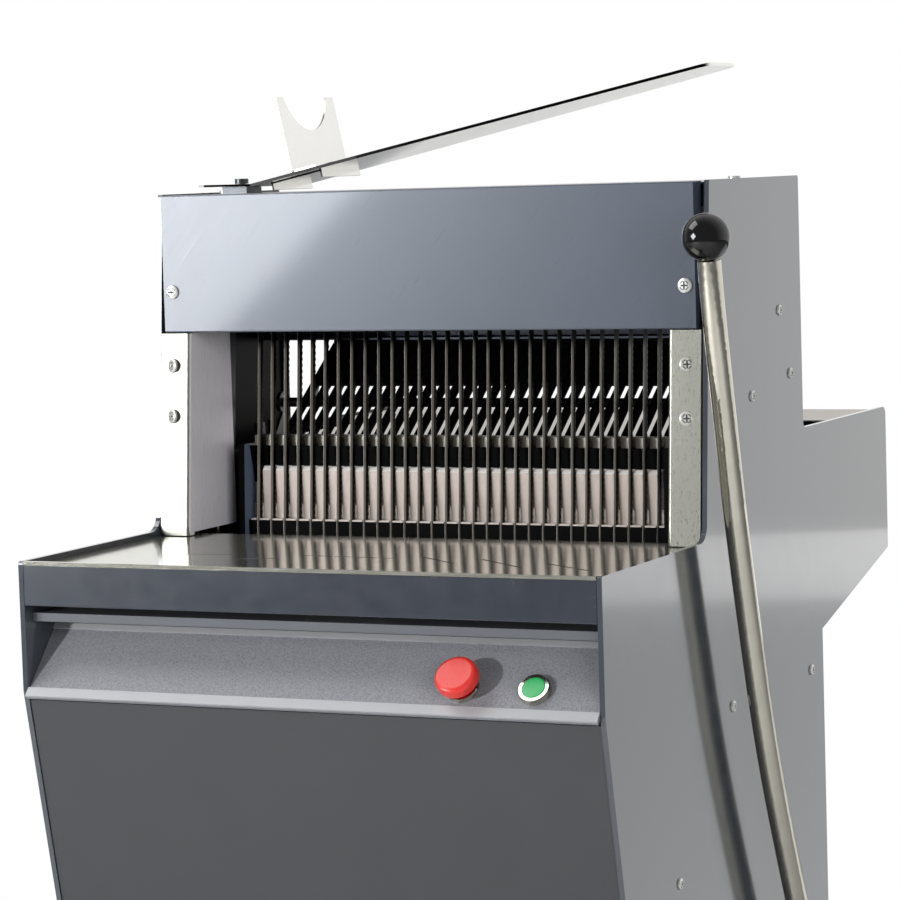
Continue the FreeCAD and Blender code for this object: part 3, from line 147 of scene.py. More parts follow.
def powder_coat(name, dark, light, rough, peel, coat=0.0, level=0.5):
    """Powder coat or paint: two close tones and a faint orange peel about 2 mm wide."""
    more = {"Coat Weight": coat, "Coat Roughness": 0.07, "Specular IOR Level": level}
    m, t, s, place = surface(name, dark, rough, IOR=1.5, **more)
    toned(t, s, grain(t, place, 60, detail=4), light)
    cloud = grain(t, place, 25, detail=5)
    rubbed = add(t, "ShaderNodeMapRange", ramp(rough - 0.03, rough + 0.04), Value=cloud)
    t.links.new(rubbed.outputs[0], s.inputs["Roughness"])
    skin = add(t, "ShaderNodeBump", relief(peel, 0.6), Height=grain(t, place, 2.2))
    t.links.new(skin.outputs[0], s.inputs["Normal"])
    return m


def brushed_steel(name, tone, rough, brushing, deep=0.02, metal=1.0, mottle=0.9):
    """Bare or plated metal with scratches drawn out the way that brushing is stretched.

    Real scratches are finer than 0.1 mm. They are drawn 0.5 mm apart, so that they show.
    """
    dark = "%02x%02x%02x" % tuple(int(int(tone[i:i + 2], 16) * mottle) for i in (0, 2, 4))
    m, t, s, place = surface(name, dark, rough, metal)
    scratches = grain(t, place, 0.5, brushing, 2)
    rubbed = add(t, "ShaderNodeMapRange", ramp(rough - 0.06, rough + 0.1), Value=scratches)
    t.links.new(rubbed.outputs[0], s.inputs["Roughness"])
    toned(t, s, grain(t, place, 18), tone)
    skin = add(t, "ShaderNodeBump", relief(deep, 0.5), Height=scratches)
    t.links.new(skin.outputs[0], s.inputs["Normal"])
    return m


def plastic(name, tone, rough, grain_mm=0.6, deep=0.01, ior=1.5):
    """Moulded plastic or rubber, and plain paint: one colour with a fine texture, coarse enough to show."""
    m, t, s, place = surface(name, tone, rough, IOR=ior)
    cloud = grain(t, place, 9, detail=4)
    rubbed = add(t, "ShaderNodeMapRange", ramp(rough - 0.04, rough + 0.05), Value=cloud)
    t.links.new(rubbed.outputs[0], s.inputs["Roughness"])
    skin = add(t, "ShaderNodeBump", relief(deep, 0.5), Height=grain(t, place, grain_mm))
    t.links.new(skin.outputs[0], s.inputs["Normal"])
    return m


ALONG_X, ALONG_Z, ROUND = (60, 1, 1), (1, 1, 60), (1, 1, 1)
# Dark grey with a clear coat: mirrors its surroundings in soft broad bands
coat_plate = powder_coat("powder_coat_gloss", "3C4148", "40454C", 0.14, 0.012, coat=0.9)
# The same grey, half gloss and without the clear coat
coat_shell = powder_coat("powder_coat_shell", "3E434A", "43484F", 0.2, 0.02)
# Blue-grey satin: a wide soft glow under a thin clear coat
coat_cover = powder_coat("powder_coat_satin", "434A57", "49505D", 0.3, 0.02, coat=0.4)
# The cover's blue-grey painted darker for the apron, as painted shade; half gloss
coat_apron_shaded = powder_coat("powder_coat_apron", "2B2F38", "31363F", 0.24, 0.02)
# Neutral dark grey, matt, with hardly any reflection
coat_grey = powder_coat("powder_coat_grey", "38393C", "3D3E41", 0.42, 0.02)
# Chassis paint: flat and nearly black
coat_frame = powder_coat("frame_paint", "1A1B1E", "202226", 0.5, 0.03)
# Deep black that gives back almost no light
coat_black = powder_coat("black_coat", "040405", "080809", 0.7, 0.02, level=0.06)
# Brushed sheet: an even sheen, and no clear mirror image
steel_upright = brushed_steel("stainless_brushed_upright", "84837A", 0.3, ALONG_Z, 0.0002,
                              metal=0.75, mottle=0.999)
# Warm dull sheet that blurs what it mirrors
steel_sheet = brushed_steel("stainless_sheet", "B4AEA6", 0.35, ALONG_X, 0.003)
# Polished sheet: a mirror that is drawn out across the brushing
steel_table = brushed_steel("stainless_polished", "DAD9CC", 0.11, ALONG_X, 0.002, metal=0.85)
# Machined steel: dark, with soft glints
steel_ground = brushed_steel("ground_steel", "5A5C5E", 0.35, ALONG_X)
# Spring steel painted nearly black, as painted shade and dark reflection on the blades' sides; dull along
# its length
blade_steel_shaded = brushed_steel("blade_steel", "34332F", 0.35, ALONG_Z)
# The pale ground strip on a blade, painted paler still as a painted highlight on the lit front edge
blade_edge_lit = brushed_steel("blade_ground_edge", "A8A299", 0.4, ALONG_Z, metal=0.2)
# Bright sheet, close to a mirror, that takes the white around it
steel_tray = brushed_steel("stainless_tray", "F4F3EE", 0.14, ALONG_X, 0.002, metal=0.9, mottle=0.98)
# The same sheet, whiter
steel_stop = brushed_steel("stainless_stop", "F8F7F3", 0.14, ALONG_Z, 0.002, metal=0.85, mottle=0.98)
# Cast aluminium: pale, warm and matt
alu_comb = brushed_steel("cast_aluminium_comb", "BDB1A9", 0.5, ALONG_Z, metal=0.35)
# Anodised aluminium: an even silver grey without a mirror image
alu_trim = brushed_steel("anodised_aluminium", "ACADB0", 0.5, ALONG_X, metal=0.2, mottle=0.97)
# Chrome plate: sharp bright and dark reflections, a little warm
chrome = brushed_steel("chrome_plate", "D6D2C4", 0.07, ROUND, 0.002)
# Zinc plate: pale silver with soft highlights
zinc = brushed_steel("zinc_plate", "ECECE8", 0.3, ROUND, 0.004, metal=0.5)
# Machined grey iron: rough and dull
cast_iron = powder_coat("machined_grey_iron", "46484B", "5A5C60", 0.55, 0.06)
# Motor enamel: middle grey, half matt
motor_paint = powder_coat("motor_enamel", "5C6064", "6A6E72", 0.4, 0.03)
# Near-black finish that swallows the light beside the blades: painted shade
shade_black = powder_coat("painted_shade_black", "08080A", "0C0C0E", 0.25, 0.004, level=0.03)
# Slate blue coat, half matt
coat_gusset = powder_coat("powder_coat_slate", "5E6A80", "68748C", 0.4, 0.02)
# Moulded ABS: clear red with a soft highlight
abs_red = plastic("abs_red", "D5352E", 0.3, 1.2, 0.006)
# The same in green, a little glossier
abs_green = plastic("abs_green", "2AA65A", 0.22, 1.2, 0.006)
# Moulded ABS with a matt skin
abs_black = plastic("abs_black", "1A1A1B", 0.5)
# Spray paint: flat middle grey
abs_recess = plastic("painted_recess", "55585D", 0.5)
# Phenolic resin: black glass-like gloss with small sharp highlights
phenolic_ball = plastic("phenolic_ball", "0B0B0C", 0.07, 3.0, 0.002)
# Nylon: dull dark grey
nylon_wheel = plastic("nylon_wheel", "3A3B3D", 0.45)
# Rubber: black without shine
rubber = plastic("rubber_black", "161616", 0.75, 0.8, 0.03)
# Shade in the cross recess of a screw's head
recess_dark = plastic("screw_recess", "4A4946", 0.6)

# From the uprights back, the side plates' inner faces are painted near black with little clear coat: painted
# shade for the dark inside of the body
INNER_SHADE_FROM = (-0.105, -0.095)  # metres; it comes in between these two depths
tree, shader = parts_of(coat_plate)
coords = add(tree, "ShaderNodeTexCoord")
side = add(tree, "ShaderNodeSeparateXYZ", Vector=coords.outputs["Object"])
look = add(tree, "ShaderNodeSeparateXYZ", Vector=coords.outputs["Normal"])
inward = add(tree, "ShaderNodeMath", {"operation": "MULTIPLY"}, i0=side.outputs["X"], i1=look.outputs["X"])
inside = add(tree, "ShaderNodeMapRange", ramp(1, 0, -0.1, -0.02), Value=inward.outputs[0])
behind = add(tree, "ShaderNodeMapRange", ramp(0, 1, *INNER_SHADE_FROM), Value=side.outputs["Y"])
inner_shade = add(tree, "ShaderNodeMath", {"operation": "MULTIPLY"}, i0=inside.outputs[0], i1=behind.outputs[0])
toned(tree, shader, inner_shade.outputs[0], "0B0C0D")
gloss = add(tree, "ShaderNodeMapRange", ramp(0.9, 0.1, 0, 1), Value=inner_shade.outputs[0])
tree.links.new(gloss.outputs[0], shader.inputs["Coat Weight"])

# Faces of the uprights that look to the right, such as the left one's return, are painted paler and made to
# mirror less: painted light standing in for light that falls on them from the right
tree, shader = parts_of(steel_upright)
painted_light_faces = facing(tree, (1, 0, 0), 0.6, 0.9)
toned(tree, shader, painted_light_faces, "F8F4FA")
bare = add(tree, "ShaderNodeMapRange", ramp(0.8, 0.15, 0, 1), Value=painted_light_faces)
tree.links.new(bare.outputs[0], shader.inputs["Metallic"])

# The cover's primer was sanded on the slant, which shows as faint diagonal streaks about 1.4 mm wide
tree, shader = parts_of(coat_cover)
coords = add(tree, "ShaderNodeTexCoord")
slant = add(tree, "ShaderNodeVectorRotate", {"rotation_type": "Y_AXIS", "Angle": math.radians(-38)},
            Vector=coords.outputs["Object"])
streaks = grain(tree, slant.outputs[0], 1.4, (1, 1, 45), 4)
skin = add(tree, "ShaderNodeBump", relief(0.009, 0.7), Height=streaks)
tree.links.new(skin.outputs[0], shader.inputs["Normal"])
rubbed = add(tree, "ShaderNodeMapRange", ramp(0.27, 0.37), Value=streaks)
tree.links.new(rubbed.outputs[0], shader.inputs["Roughness"])

# Painted shadow of the cover: the ground front edges are painted dark at the blades' upper ends, above the
# loaf's way
COVER_SHADOW_FROM = (1.039, 1.049)  # metres up from the floor; it comes in between these two heights
tree, shader = parts_of(blade_edge_lit)
coords = add(tree, "ShaderNodeTexCoord")
height = add(tree, "ShaderNodeSeparateXYZ", Vector=coords.outputs["Object"])
cover_shadow = add(tree, "ShaderNodeMapRange", ramp(0, 1, *COVER_SHADOW_FROM), Value=height.outputs["Z"])
toned(tree, shader, cover_shadow.outputs[0], "171615")

# Upward faces of the comb's teeth are painted paler than their fronts: a painted highlight where light falls
# on the tops
tree, shader = parts_of(alu_comb)
toned(tree, shader, facing(tree, (0, 0, 1), 0.3, 0.5), "F6F4F0")

# Painted shade on edge faces: the tray's front cut edge is painted nearly black, and the stop plate's cut
# edges grey
tree, shader = parts_of(steel_tray)
toned(tree, shader, facing(tree, (0, -1, 0), 0.6, 0.8), "0E0D0C")
tree, shader = parts_of(steel_stop)
straight = look_along(tree, (math.cos(TRAY_TILT), 0, math.sin(TRAY_TILT)))
square = add(tree, "ShaderNodeMath", {"operation": "POWER", 1: 2.0}, i0=straight)
edge_shade = add(tree, "ShaderNodeMapRange", ramp(1, 0, 0.3, 0.6), Value=square.outputs[0])
toned(tree, shader, edge_shade.outputs[0], "8E8D86")

# Grained vinyl film on the control strip: dark grey with a pebble about 1.5 mm wide
strip_film, tree, shader, place = surface("grained_film", "6E6F74", 0.42, IOR=1.5)
pebble = grain(tree, place, 1.5, detail=5)
hills = add(tree, "ShaderNodeMapRange", ramp(0, 1, 0.35, 0.65), Value=pebble)
toned(tree, shader, hills.outputs[0], "8C8D92")
skin = add(tree, "ShaderNodeBump", relief(0.08, 0.7), Height=pebble)
tree.links.new(skin.outputs[0], shader.inputs["Normal"])

FINISH = {
    coat_plate: ("side_plate_left", "side_plate_right"),
    coat_shell: ("rear_housing", "comb_cheeks"),
    coat_cover: ("front_cover", "roof_panel", "rear_cover"),
    coat_apron_shaded: ("apron",),
    coat_grey: ("front_panel", "rear_panel", "drawer_front"),
    coat_frame: ("base_pan", "bed_supports", "column_brackets", "drive_beam", "motor_plate"),
    coat_black: ("pusher_plate", "blade_guards"),
    steel_sheet: ("infeed_bed", "crumb_drawer", "drawer_runners"),
    steel_table: ("table_top",),
    steel_ground: ("blade_frame_a", "blade_frame_b", "crankshaft", "pusher_carriage", "lever_shaft",
                   "tray_pivot"),
    blade_steel_shaded: ("blades_a", "blades_b"),
    steel_tray: ("bag_tray",),
    steel_stop: ("tray_stop",),
    alu_comb: ("front_comb",),
    alu_trim: ("panel_trims",),
    chrome: ("switch_bezels", "guide_columns", "carriage_rails", "lever_bar"),
    zinc: ("side_screws", "front_screws", "roof_screws", "wheel_forks"),
    cast_iron: ("crank_bearings", "crank_pulley", "motor_pulley", "lever_bearings"),
    motor_paint: ("motor",),
    abs_red: ("estop_button",),
    abs_green: ("start_button",),
    abs_black: ("contact_blocks", "control_box"),
    abs_recess: ("recess_panel",),
    phenolic_ball: ("lever_ball",),
    nylon_wheel: ("wheel_left", "wheel_right"),
    rubber: ("front_feet", "drive_belt"),
    strip_film: ("control_panel",),
}
for finish, names in FINISH.items():
    for name in names:
        for spot in nodes[name].material_slots:
            spot.material = finish


# -------------------------------------------------------------- new pieces
def new_object(name, data):
    """An object of the scene for a mesh, light or camera."""
    o = bpy.data.objects.new(name, data)
    bpy.context.scene.collection.objects.link(o)
    return o


def mesh_of(name, points, faces, accent=()):
    """Mesh in metres from points in millimetres; accent lists the faces that take the second finish."""
    me = bpy.data.meshes.new(name)
    me.from_pydata([Vector(p) / 1000 for p in points], [], faces)
    flags = me.attributes.new("accent", "BOOLEAN", "FACE")
    for i in accent:
        flags.data[i].value = True
    return me


def repeat_tree():
    """Geometry Nodes: copies a pattern object to each point, turned by the point's own angles."""
    g = bpy.data.node_groups.new("repeat_pattern", "GeometryNodeTree")
    sockets = {}
    kinds = {"Points": "Geometry", "Pattern": "Object", "Size": "Float", "Finish": "Material",
             "Accent": "Material"}
    for label, kind in kinds.items():
        sockets[label] = g.interface.new_socket(label, in_out="INPUT", socket_type="NodeSocket" + kind)
    g.interface.new_socket("Geometry", in_out="OUTPUT", socket_type="NodeSocketGeometry")
    start, end = g.nodes.new("NodeGroupInput"), g.nodes.new("NodeGroupOutput")
    out = start.outputs
    info = add(g, "GeometryNodeObjectInfo", Object=out["Pattern"])
    turn = add(g, "GeometryNodeInputNamedAttribute", {"data_type": "FLOAT_VECTOR", "Name": "turn"})
    euler = add(g, "FunctionNodeEulerToRotation", Euler=turn.outputs["Attribute"])
    copies = add(g, "GeometryNodeInstanceOnPoints", Points=out["Points"], Instance=info.outputs["Geometry"],
                 Rotation=euler.outputs[0], Scale=out["Size"])
    real = add(g, "GeometryNodeRealizeInstances", Geometry=copies.outputs[0])
    first = add(g, "GeometryNodeSetMaterial", Geometry=real.outputs[0], Material=out["Finish"])
    flag = add(g, "GeometryNodeInputNamedAttribute", {"data_type": "BOOLEAN", "Name": "accent"})
    last = add(g, "GeometryNodeSetMaterial", Geometry=first.outputs[0], Material=out["Accent"],
               Selection=flag.outputs["Attribute"])
    g.links.new(last.outputs[0], end.inputs[0])
    return g, {label: s.identifier for label, s in sockets.items()}


REPEAT, SOCKET = repeat_tree()


def evaluated(o):
    """The object's mesh with its modifiers applied."""
    bpy.context.view_layer.update()
    return bpy.data.meshes.new_from_object(o.evaluated_get(bpy.context.evaluated_depsgraph_get()))


def repeated(name, pattern, spots, body, node, finish, accent, size=1.0):
    """One piece of copies of pattern at spots of (place, turn), riding a body in place of a CAD node."""
    me = bpy.data.meshes.new(name + "_points")
    me.from_pydata([place for place, _ in spots], [], [])
    turns = me.attributes.new("turn", "FLOAT_VECTOR", "POINT")
    for i, (_, turn) in enumerate(spots):
        turns.data[i].vector = turn
    carrier = new_object(name + "_carrier", me)
    source = new_object(name + "_pattern", pattern)
    tool = carrier.modifiers.new("repeat", "NODES")
    tool.node_group = REPEAT
    for label, value in (("Pattern", source), ("Size", size), ("Finish", finish), ("Accent", accent)):
        tool[SOCKET[label]] = value
    baked = evaluated(carrier)
    baked.name = name
    for o in (carrier, source):
        bpy.data.objects.remove(o)
    piece = new_object(name, baked)
    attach(piece, body)
    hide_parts(node)


BLADE_ENDS = (794, 1119)  # heights of the blade's ends before it leans
TOOTH, TEETH, SCALLOP, STEPS = 6.2, 43, 1.6, 8  # pitch, number, depth, and rows along each
TEETH_FROM = 820
FRONT_STRIP = (0, 1, 7, 8, 9)  # faces of the blade's section within 4.8 mm of its plain front edge


def blade_mesh():
    """One blade upright about its lean point: 0.6 mm thick, scalloped along the loaf's side."""
    low, high, first = (z - LEAN_Z for z in (*BLADE_ENDS, TEETH_FROM))
    ledge = 0.01
    rows = [(low, 0.0), (first - ledge, 0.0)]
    for k in range(TEETH * STEPS + 1):
        rows.append((first + k * TOOTH / STEPS, SCALLOP * math.sin(math.pi * (k % STEPS) / STEPS)))
    rows += [(rows[-1][0] + ledge, 0.0), (high, 0.0)]
    points, faces, accent = [], [], []
    for z, dip in rows:
        tip = 6 - dip
        half = [(0.1, -6), (0.3, -5.3), (0.3, -1.2), (0.3, 3.2), (0.05, tip)]
        points += [(x, y, z) for x, y in half] + [(-x, y, z) for x, y in reversed(half)]
    n = 2 * len(half)
    for r in range(len(rows) - 1):
        for c in range(n):
            d = (c + 1) % n
            if c in FRONT_STRIP:
                accent.append(len(faces))
            faces.append((r * n + c, r * n + d, (r + 1) * n + d, (r + 1) * n + c))
    faces += [tuple(reversed(range(n))), tuple(range(len(points) - n, len(points)))]
    return mesh_of("blade", points, faces, accent)


LATHE_STEPS = 40


def lathe(profile):
    """Closed form turned about Z from a profile of (radius, height) that starts and ends on the axis."""
    ring = profile[1:-1]
    points = [(0, 0, profile[0][1]), (0, 0, profile[-1][1])]
    for i in range(LATHE_STEPS):
        a = math.tau * i / LATHE_STEPS
        points += [(r * math.cos(a), r * math.sin(a), h) for r, h in ring]
    n, faces = len(ring), []
    for i in range(LATHE_STEPS):
        p, q = 2 + i * n, 2 + (i + 1) % LATHE_STEPS * n
        faces.append((0, q, p))
        faces += [(p + k, q + k, q + k + 1, p + k + 1) for k in range(n - 1)]
        faces.append((1, p + n - 1, q + n - 1))
    return points, faces


HEAD_RADIUS, RIM, CROWN = 7, 1.5, 3.2  # a screw's head, and the heights of its rim and middle
CROSS = (7.6, 1.5)  # length and width of each bar of its recess


def screw_mesh():
    """Pan head with a cross recess, made by cutting two bars out of a turned head."""
    dome = [(0, -2), (3, -2), (3, 0), (HEAD_RADIUS, 0), (HEAD_RADIUS, RIM)]
    dome += [(HEAD_RADIUS - 3.6 * (1 - math.cos(t)), RIM + 1.65 * math.sin(t)) for t in (0.4, 0.8, 1.2, 1.5)]
    head = new_object("head", mesh_of("head", *lathe(dome + [(0, CROWN)])))
    bm = bmesh.new()
    for wide, deep in (CROSS, CROSS[::-1]):
        bar = Matrix.Translation((0, 0, 0.0031)) @ Matrix.Diagonal((wide / 1000, deep / 1000, 0.003, 1))
        bmesh.ops.create_cube(bm, size=1, matrix=bar)
    cross_mesh = bpy.data.meshes.new("cross")
    bm.to_mesh(cross_mesh)
    bm.free()
    cross = new_object("cross", cross_mesh)
    tool = head.modifiers.new("recess", "BOOLEAN")
    tool.operation, tool.object, tool.solver, tool.use_self = "DIFFERENCE", cross, "EXACT", True
    result = evaluated(head)
    for o in (head, cross):
        bpy.data.objects.remove(o)
    flags = result.attributes.get("accent") or result.attributes.new("accent", "BOOLEAN", "FACE")
    # The recess's floor and walls take the second finish
    for i, face in enumerate(result.polygons):
        c = face.center * 1000
        flags.data[i].value = max(abs(c.x), abs(c.y)) < 3.9 and 1.5 < c.z < 3.1 and face.area * 1e6 < 8
    return result


blade = blade_mesh()
for name, start in (("a", 0), ("b", 1)):
    middles = [BLADE_PITCH * (i - (BLADES - 1) / 2) for i in range(start, BLADES, 2)]
    spots = [(mm(x, LEAN_Y, LEAN_Z), (-LEAN, 0, 0)) for x in middles]
    repeated("blade_row_" + name, blade.copy(), spots, "frame_" + name, "blades_" + name,
             blade_steel_shaded, blade_edge_lit)

screw = screw_mesh()


TOP_Y, TOP_Z = -70.9, 1200  # upper front corner of the side plates


def column_y(z):
    """Where the front edge of the side plates' upper body is at a height."""
    return TOP_Y - (TOP_Z - z) * math.tan(LEAN)


COVER_FRONT, PLATE_OUTSIDE = -84.5, 295  # planes that the heads sit on
UPRIGHT_SHEET = 1.75  # the uprights' fronts stand this far before the plates' edge
SIDE_HEAD = 0.78  # the side screws' heads against the front ones
COVER_SCREW_X, COVER_SCREW_Z = 274, 1102.5
UPRIGHT_SCREW_X, UPRIGHT_SCREW_ZS, UPRIGHT_SCREW_TURN = 274.5, (1029, 978.5), 0.5
spots = [(mm(s * COVER_SCREW_X, COVER_FRONT, COVER_SCREW_Z), (QUARTER, 0, 0)) for s in SIDES]
spots += [(mm(s * UPRIGHT_SCREW_X, column_y(z) - UPRIGHT_SHEET, z),
           (QUARTER - LEAN, 0, s * UPRIGHT_SCREW_TURN)) for s in SIDES for z in UPRIGHT_SCREW_ZS]
repeated("front_screw_heads", screw.copy(), spots, "machine", "front_screws",
         zinc, recess_dark)
SIDE_SCREWS = [(116.3, 1068.7), (144.9, 1004.6), (32.7, 990.3), (-40, 700.1), (190.4, 700.1),
               (-190, 560.1), (190.4, 300), (-170, 180)]
spots = [(mm(s * PLATE_OUTSIDE, y, z), (0, s * QUARTER, 0)) for s in SIDES for y, z in SIDE_SCREWS]
repeated("side_screw_heads", screw.copy(), spots, "machine", "side_screws",
         zinc, recess_dark, SIDE_HEAD)


def ruled(name, body, finish, blocks):
    """Closed prisms in one piece; each block lists its first end's corners, then the other end's."""
    bm = bmesh.new()
    for corners in blocks:
        n = len(corners) // 2
        v = [bm.verts.new(mm(*p)) for p in corners]
        bm.faces.new(v[:n])
        bm.faces.new(v[n:])
        for i in range(n):
            bm.faces.new((v[i], v[(i + 1) % n], v[n + (i + 1) % n], v[n + i]))
    bmesh.ops.recalc_face_normals(bm, faces=bm.faces)
    me = bpy.data.meshes.new(name)
    bm.to_mesh(me)
    bm.free()
    piece = new_object(name, me)
    me.materials.append(finish)
    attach(piece, body)


def sheet_between(x0, x1, outline):
    """Corners of a sheet between two x planes from its (y, z) outline."""
    return [(x0, y, z) for y, z in outline] + [(x1, y, z) for y, z in outline]


# Gussets beside the comb: a slate side sheet 1.5 mm thick and a front flange out to the cheek, painted black
# as painted shade
GUSSET_IN, GUSSET_OUT, CHEEK = 228, 229.5, 234
GUSSET = [(-36, 851), (-31, 945), (-20.5, 945), (-3, 874), (3.5, 851)]
FLANGE = [(-37.2, 851), (-32.2, 945), (-31, 945), (-36, 851)]
ruled("comb_gussets", "machine", coat_gusset,
      [sheet_between(s * GUSSET_IN, s * GUSSET_OUT, GUSSET) for s in SIDES])
ruled("gusset_flanges", "machine", coat_black,
      [sheet_between(s * GUSSET_IN, s * CHEEK, FLANGE) for s in SIDES])

# Thin near-black sheets on the side plates' inner faces, between the uprights and the plates' rear edge:
# painted shade for the unlit inside of the body
SHADE_SHEET_IN, SHADE_SHEET_OUT = 289.3, 289.9
SHADE_SHEET = [(-60, 872), (-60, 1058), (186, 1058), (186, 950), (110, 950), (110, 872)]
ruled("plate_linings", "machine", shade_black,
      [sheet_between(s * SHADE_SHEET_IN, s * SHADE_SHEET_OUT, SHADE_SHEET) for s in SIDES])

# Folded hem along the top edge of the pusher plate
low, high = (Vector(p) * 1000 + BASE_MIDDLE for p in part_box("pusher_plate"))
HEM = [(high.y - 3.5, high.z - 4), (high.y - 0.2, high.z + 7),
       (high.y + 1.6, high.z + 6.4), (high.y - 1.4, high.z - 4)]
ruled("pusher_hem", "pusher", coat_black, [sheet_between(low.x, high.x, HEM)])


def softened(node, radius, picked, finish):
    """Copy of a sheet node with a bend radius along the picked edges, in place of the node."""
    me = nodes[node].data.copy()
    bm = bmesh.new()
    bm.from_mesh(me)
    bmesh.ops.remove_doubles(bm, verts=bm.verts, dist=1e-6)
    bmesh.ops.dissolve_limit(bm, angle_limit=math.radians(0.5), verts=bm.verts, edges=bm.edges)
    edges = [e for e in bm.edges if picked(*(v.co * 1000 + BASE_MIDDLE for v in e.verts))]
    bmesh.ops.bevel(bm, geom=edges, offset=radius / 1000, segments=5, profile=0.5, affect="EDGES")
    for face in bm.faces:
        face.smooth = False
    bm.to_mesh(me)
    bm.free()
    piece = new_object(node + "_folded", me)
    me.materials.clear()
    me.materials.append(finish)
    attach(piece, "machine")
    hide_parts(node)


def inner_fold(a, b):
    """Whether an edge from a to b is the upright's long front edge beside the mouth."""
    aside = max(abs(abs(p.x) - MOUTH_EDGE) for p in (a, b))
    return abs(a.z - b.z) > 150 and aside < 0.1 and max(a.y, b.y) < -60


BEND_RADIUS = 3.2
for node in ("upright_left", "upright_right"):
    softened(node, BEND_RADIUS, inner_fold, steel_upright)


# ------------------------------------------------------------------ stage
def lamp(name, place, aim, size, power, high=None, diffuse=True, glossy=True, roll=0):
    """An area light that the camera doesn't see, aimed at a point; sizes in metres, power in watts."""
    light = bpy.data.lights.new(name, "AREA")
    light.shape = "RECTANGLE"
    light.size, light.size_y = size, high or size
    light.energy = power
    o = new_object(name, light)
    o.location = place
    facing_aim = (Vector(aim) - Vector(place)).to_track_quat("-Z", "Y").to_matrix()
    o.rotation_euler = (facing_aim @ Matrix.Rotation(math.radians(roll), 3, "Z")).to_euler()
    o.visible_camera, o.visible_diffuse, o.visible_glossy = False, diffuse, glossy
    return o


lamp("key", (-1.4, -3.15, 1.25), (0, -0.2, 0.85), 0.16, 70, glossy=False)
cool = lamp("cover_glow", (-2.14, -2.9, 1.45), (-0.2, -0.1, 1.1), 1.24, 92, diffuse=False, roll=45)
cool.data.color = (0.93, 0.96, 1.0)
lamp("fill_right", (2.2, -2.3, 1.5), (-0.1, -0.1, 0.9), 1.3, 34, glossy=False)
lamp("ceiling", (-1.5, -0.8, 2.9), (-0.2, -0.3, 0.8), 1.4, 26)
lamp("card_right", (0.8, 0.98, 0.3), (0.295, 0.1, 0.24), 0.9, 1.55, high=0.86, diffuse=False)

# White surroundings, mirrored brightest behind the machine, with more matt fill from the front
world = bpy.data.worlds.new("studio")
bpy.context.scene.world = world
world.use_nodes = True
wt = world.node_tree
wt.nodes.clear()
paths = add(wt, "ShaderNodeLightPath")
coords = add(wt, "ShaderNodeTexCoord")
split = add(wt, "ShaderNodeSeparateXYZ", Vector=coords.outputs["Generated"])
back = add(wt, "ShaderNodeMapRange", ramp(0.22, 1.0, -0.3, 0.5), Value=split.outputs["Y"])
soft = add(wt, "ShaderNodeMapRange", ramp(0.27, 0.06, -0.2, 0.6), Value=split.outputs["Y"])
seen = add(wt, "ShaderNodeBackground", {"Color": linear("FFFFFF"), "Strength": 1.0})
mirrored = add(wt, "ShaderNodeBackground", {"Color": linear("FFFFFF")}, Strength=back.outputs[0])
fill = add(wt, "ShaderNodeBackground", {"Color": linear("F4F6FA")}, Strength=soft.outputs[0])
glossy = add(wt, "ShaderNodeMixShader", i0=paths.outputs["Is Glossy Ray"], i1=fill.outputs[0],
             i2=mirrored.outputs[0])
clear = add(wt, "ShaderNodeMath", {"operation": "MAXIMUM"}, i0=paths.outputs["Is Camera Ray"],
            i1=paths.outputs["Is Transmission Ray"])
mix = add(wt, "ShaderNodeMixShader", i0=clear.outputs[0], i1=glossy.outputs[0], i2=seen.outputs[0])
add(wt, "ShaderNodeOutputWorld", Surface=mix.outputs[0])

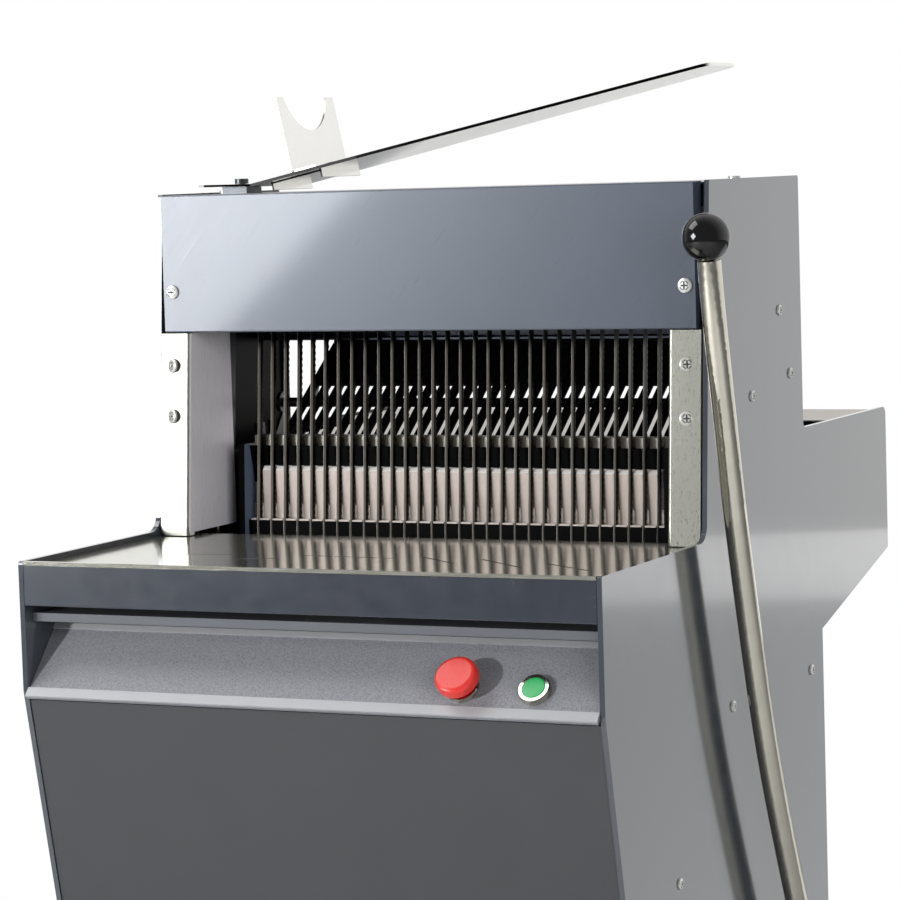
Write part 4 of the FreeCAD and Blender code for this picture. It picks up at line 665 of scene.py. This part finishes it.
# Pale floor: a disc that fades into the white surroundings
disc = bpy.data.meshes.new("floor")
bm = bmesh.new()
FLOOR_RADIUS, FLOOR_GAP = 6, 0.0005  # metres; the gap keeps the floor clear of the feet's faces
bmesh.ops.create_circle(bm, cap_ends=True, segments=96, radius=FLOOR_RADIUS)
bm.to_mesh(disc)
bm.free()
floor = new_object("floor", disc)
floor.location = (0, 0, -FLOOR_GAP)
pale = bpy.data.materials.new("pale_floor")
pale.use_nodes = True
ft = pale.node_tree
ft.nodes.clear()
where = add(ft, "ShaderNodeTexCoord")
far = add(ft, "ShaderNodeVectorMath", {"operation": "LENGTH"}, Vector=where.outputs["Object"])
rim = {**ramp(0, 1, 0.9, 1.9), "interpolation_type": "SMOOTHSTEP"}  # metres from the middle
fade = add(ft, "ShaderNodeMapRange", rim, Value=far.outputs["Value"])
matt = add(ft, "ShaderNodeBsdfDiffuse", {"Color": linear("F2F2F2")})
glow = add(ft, "ShaderNodeEmission", {"Color": linear("FFFFFF"), "Strength": 1.0})
eye = add(ft, "ShaderNodeLightPath")
lit = add(ft, "ShaderNodeMath", {"operation": "MULTIPLY"}, i0=eye.outputs["Is Camera Ray"],
          i1=fade.outputs[0])
both = add(ft, "ShaderNodeMixShader", i0=lit.outputs[0], i1=matt.outputs[0], i2=glow.outputs[0])
add(ft, "ShaderNodeOutputMaterial", Surface=both.outputs[0])
disc.materials.append(pale)

# ----------------------------------------------------------------- camera
# The lens is given by its focal length in pixels of a frame 900 pixels wide
YAW, DIP, ROLL = math.radians(25.104), math.radians(4.921), math.radians(-1.779)
EYE = (1381.2, -2974.7, 1221.3)
SENSOR, FOCAL_PIXELS, FRAME_PIXELS = 36, 3314, 900
ahead = Vector((-math.sin(YAW) * math.cos(DIP), math.cos(YAW) * math.cos(DIP), -math.sin(DIP)))
right = Vector((math.cos(YAW), math.sin(YAW), 0))
up = right.cross(ahead)
right, up = math.cos(ROLL) * right + math.sin(ROLL) * up, math.cos(ROLL) * up - math.sin(ROLL) * right
eye_data = bpy.data.cameras.new("camera")
eye_data.sensor_width = SENSOR
eye_data.lens = SENSOR * FOCAL_PIXELS / FRAME_PIXELS
eye_data.clip_end = 50
camera = new_object("camera", eye_data)
turn = Matrix((right, up, -ahead)).transposed().to_4x4()
camera.matrix_world = Matrix.Translation(mm(*EYE)) @ turn
bpy.context.scene.camera = camera
bpy.context.scene.view_settings.view_transform = "Standard"
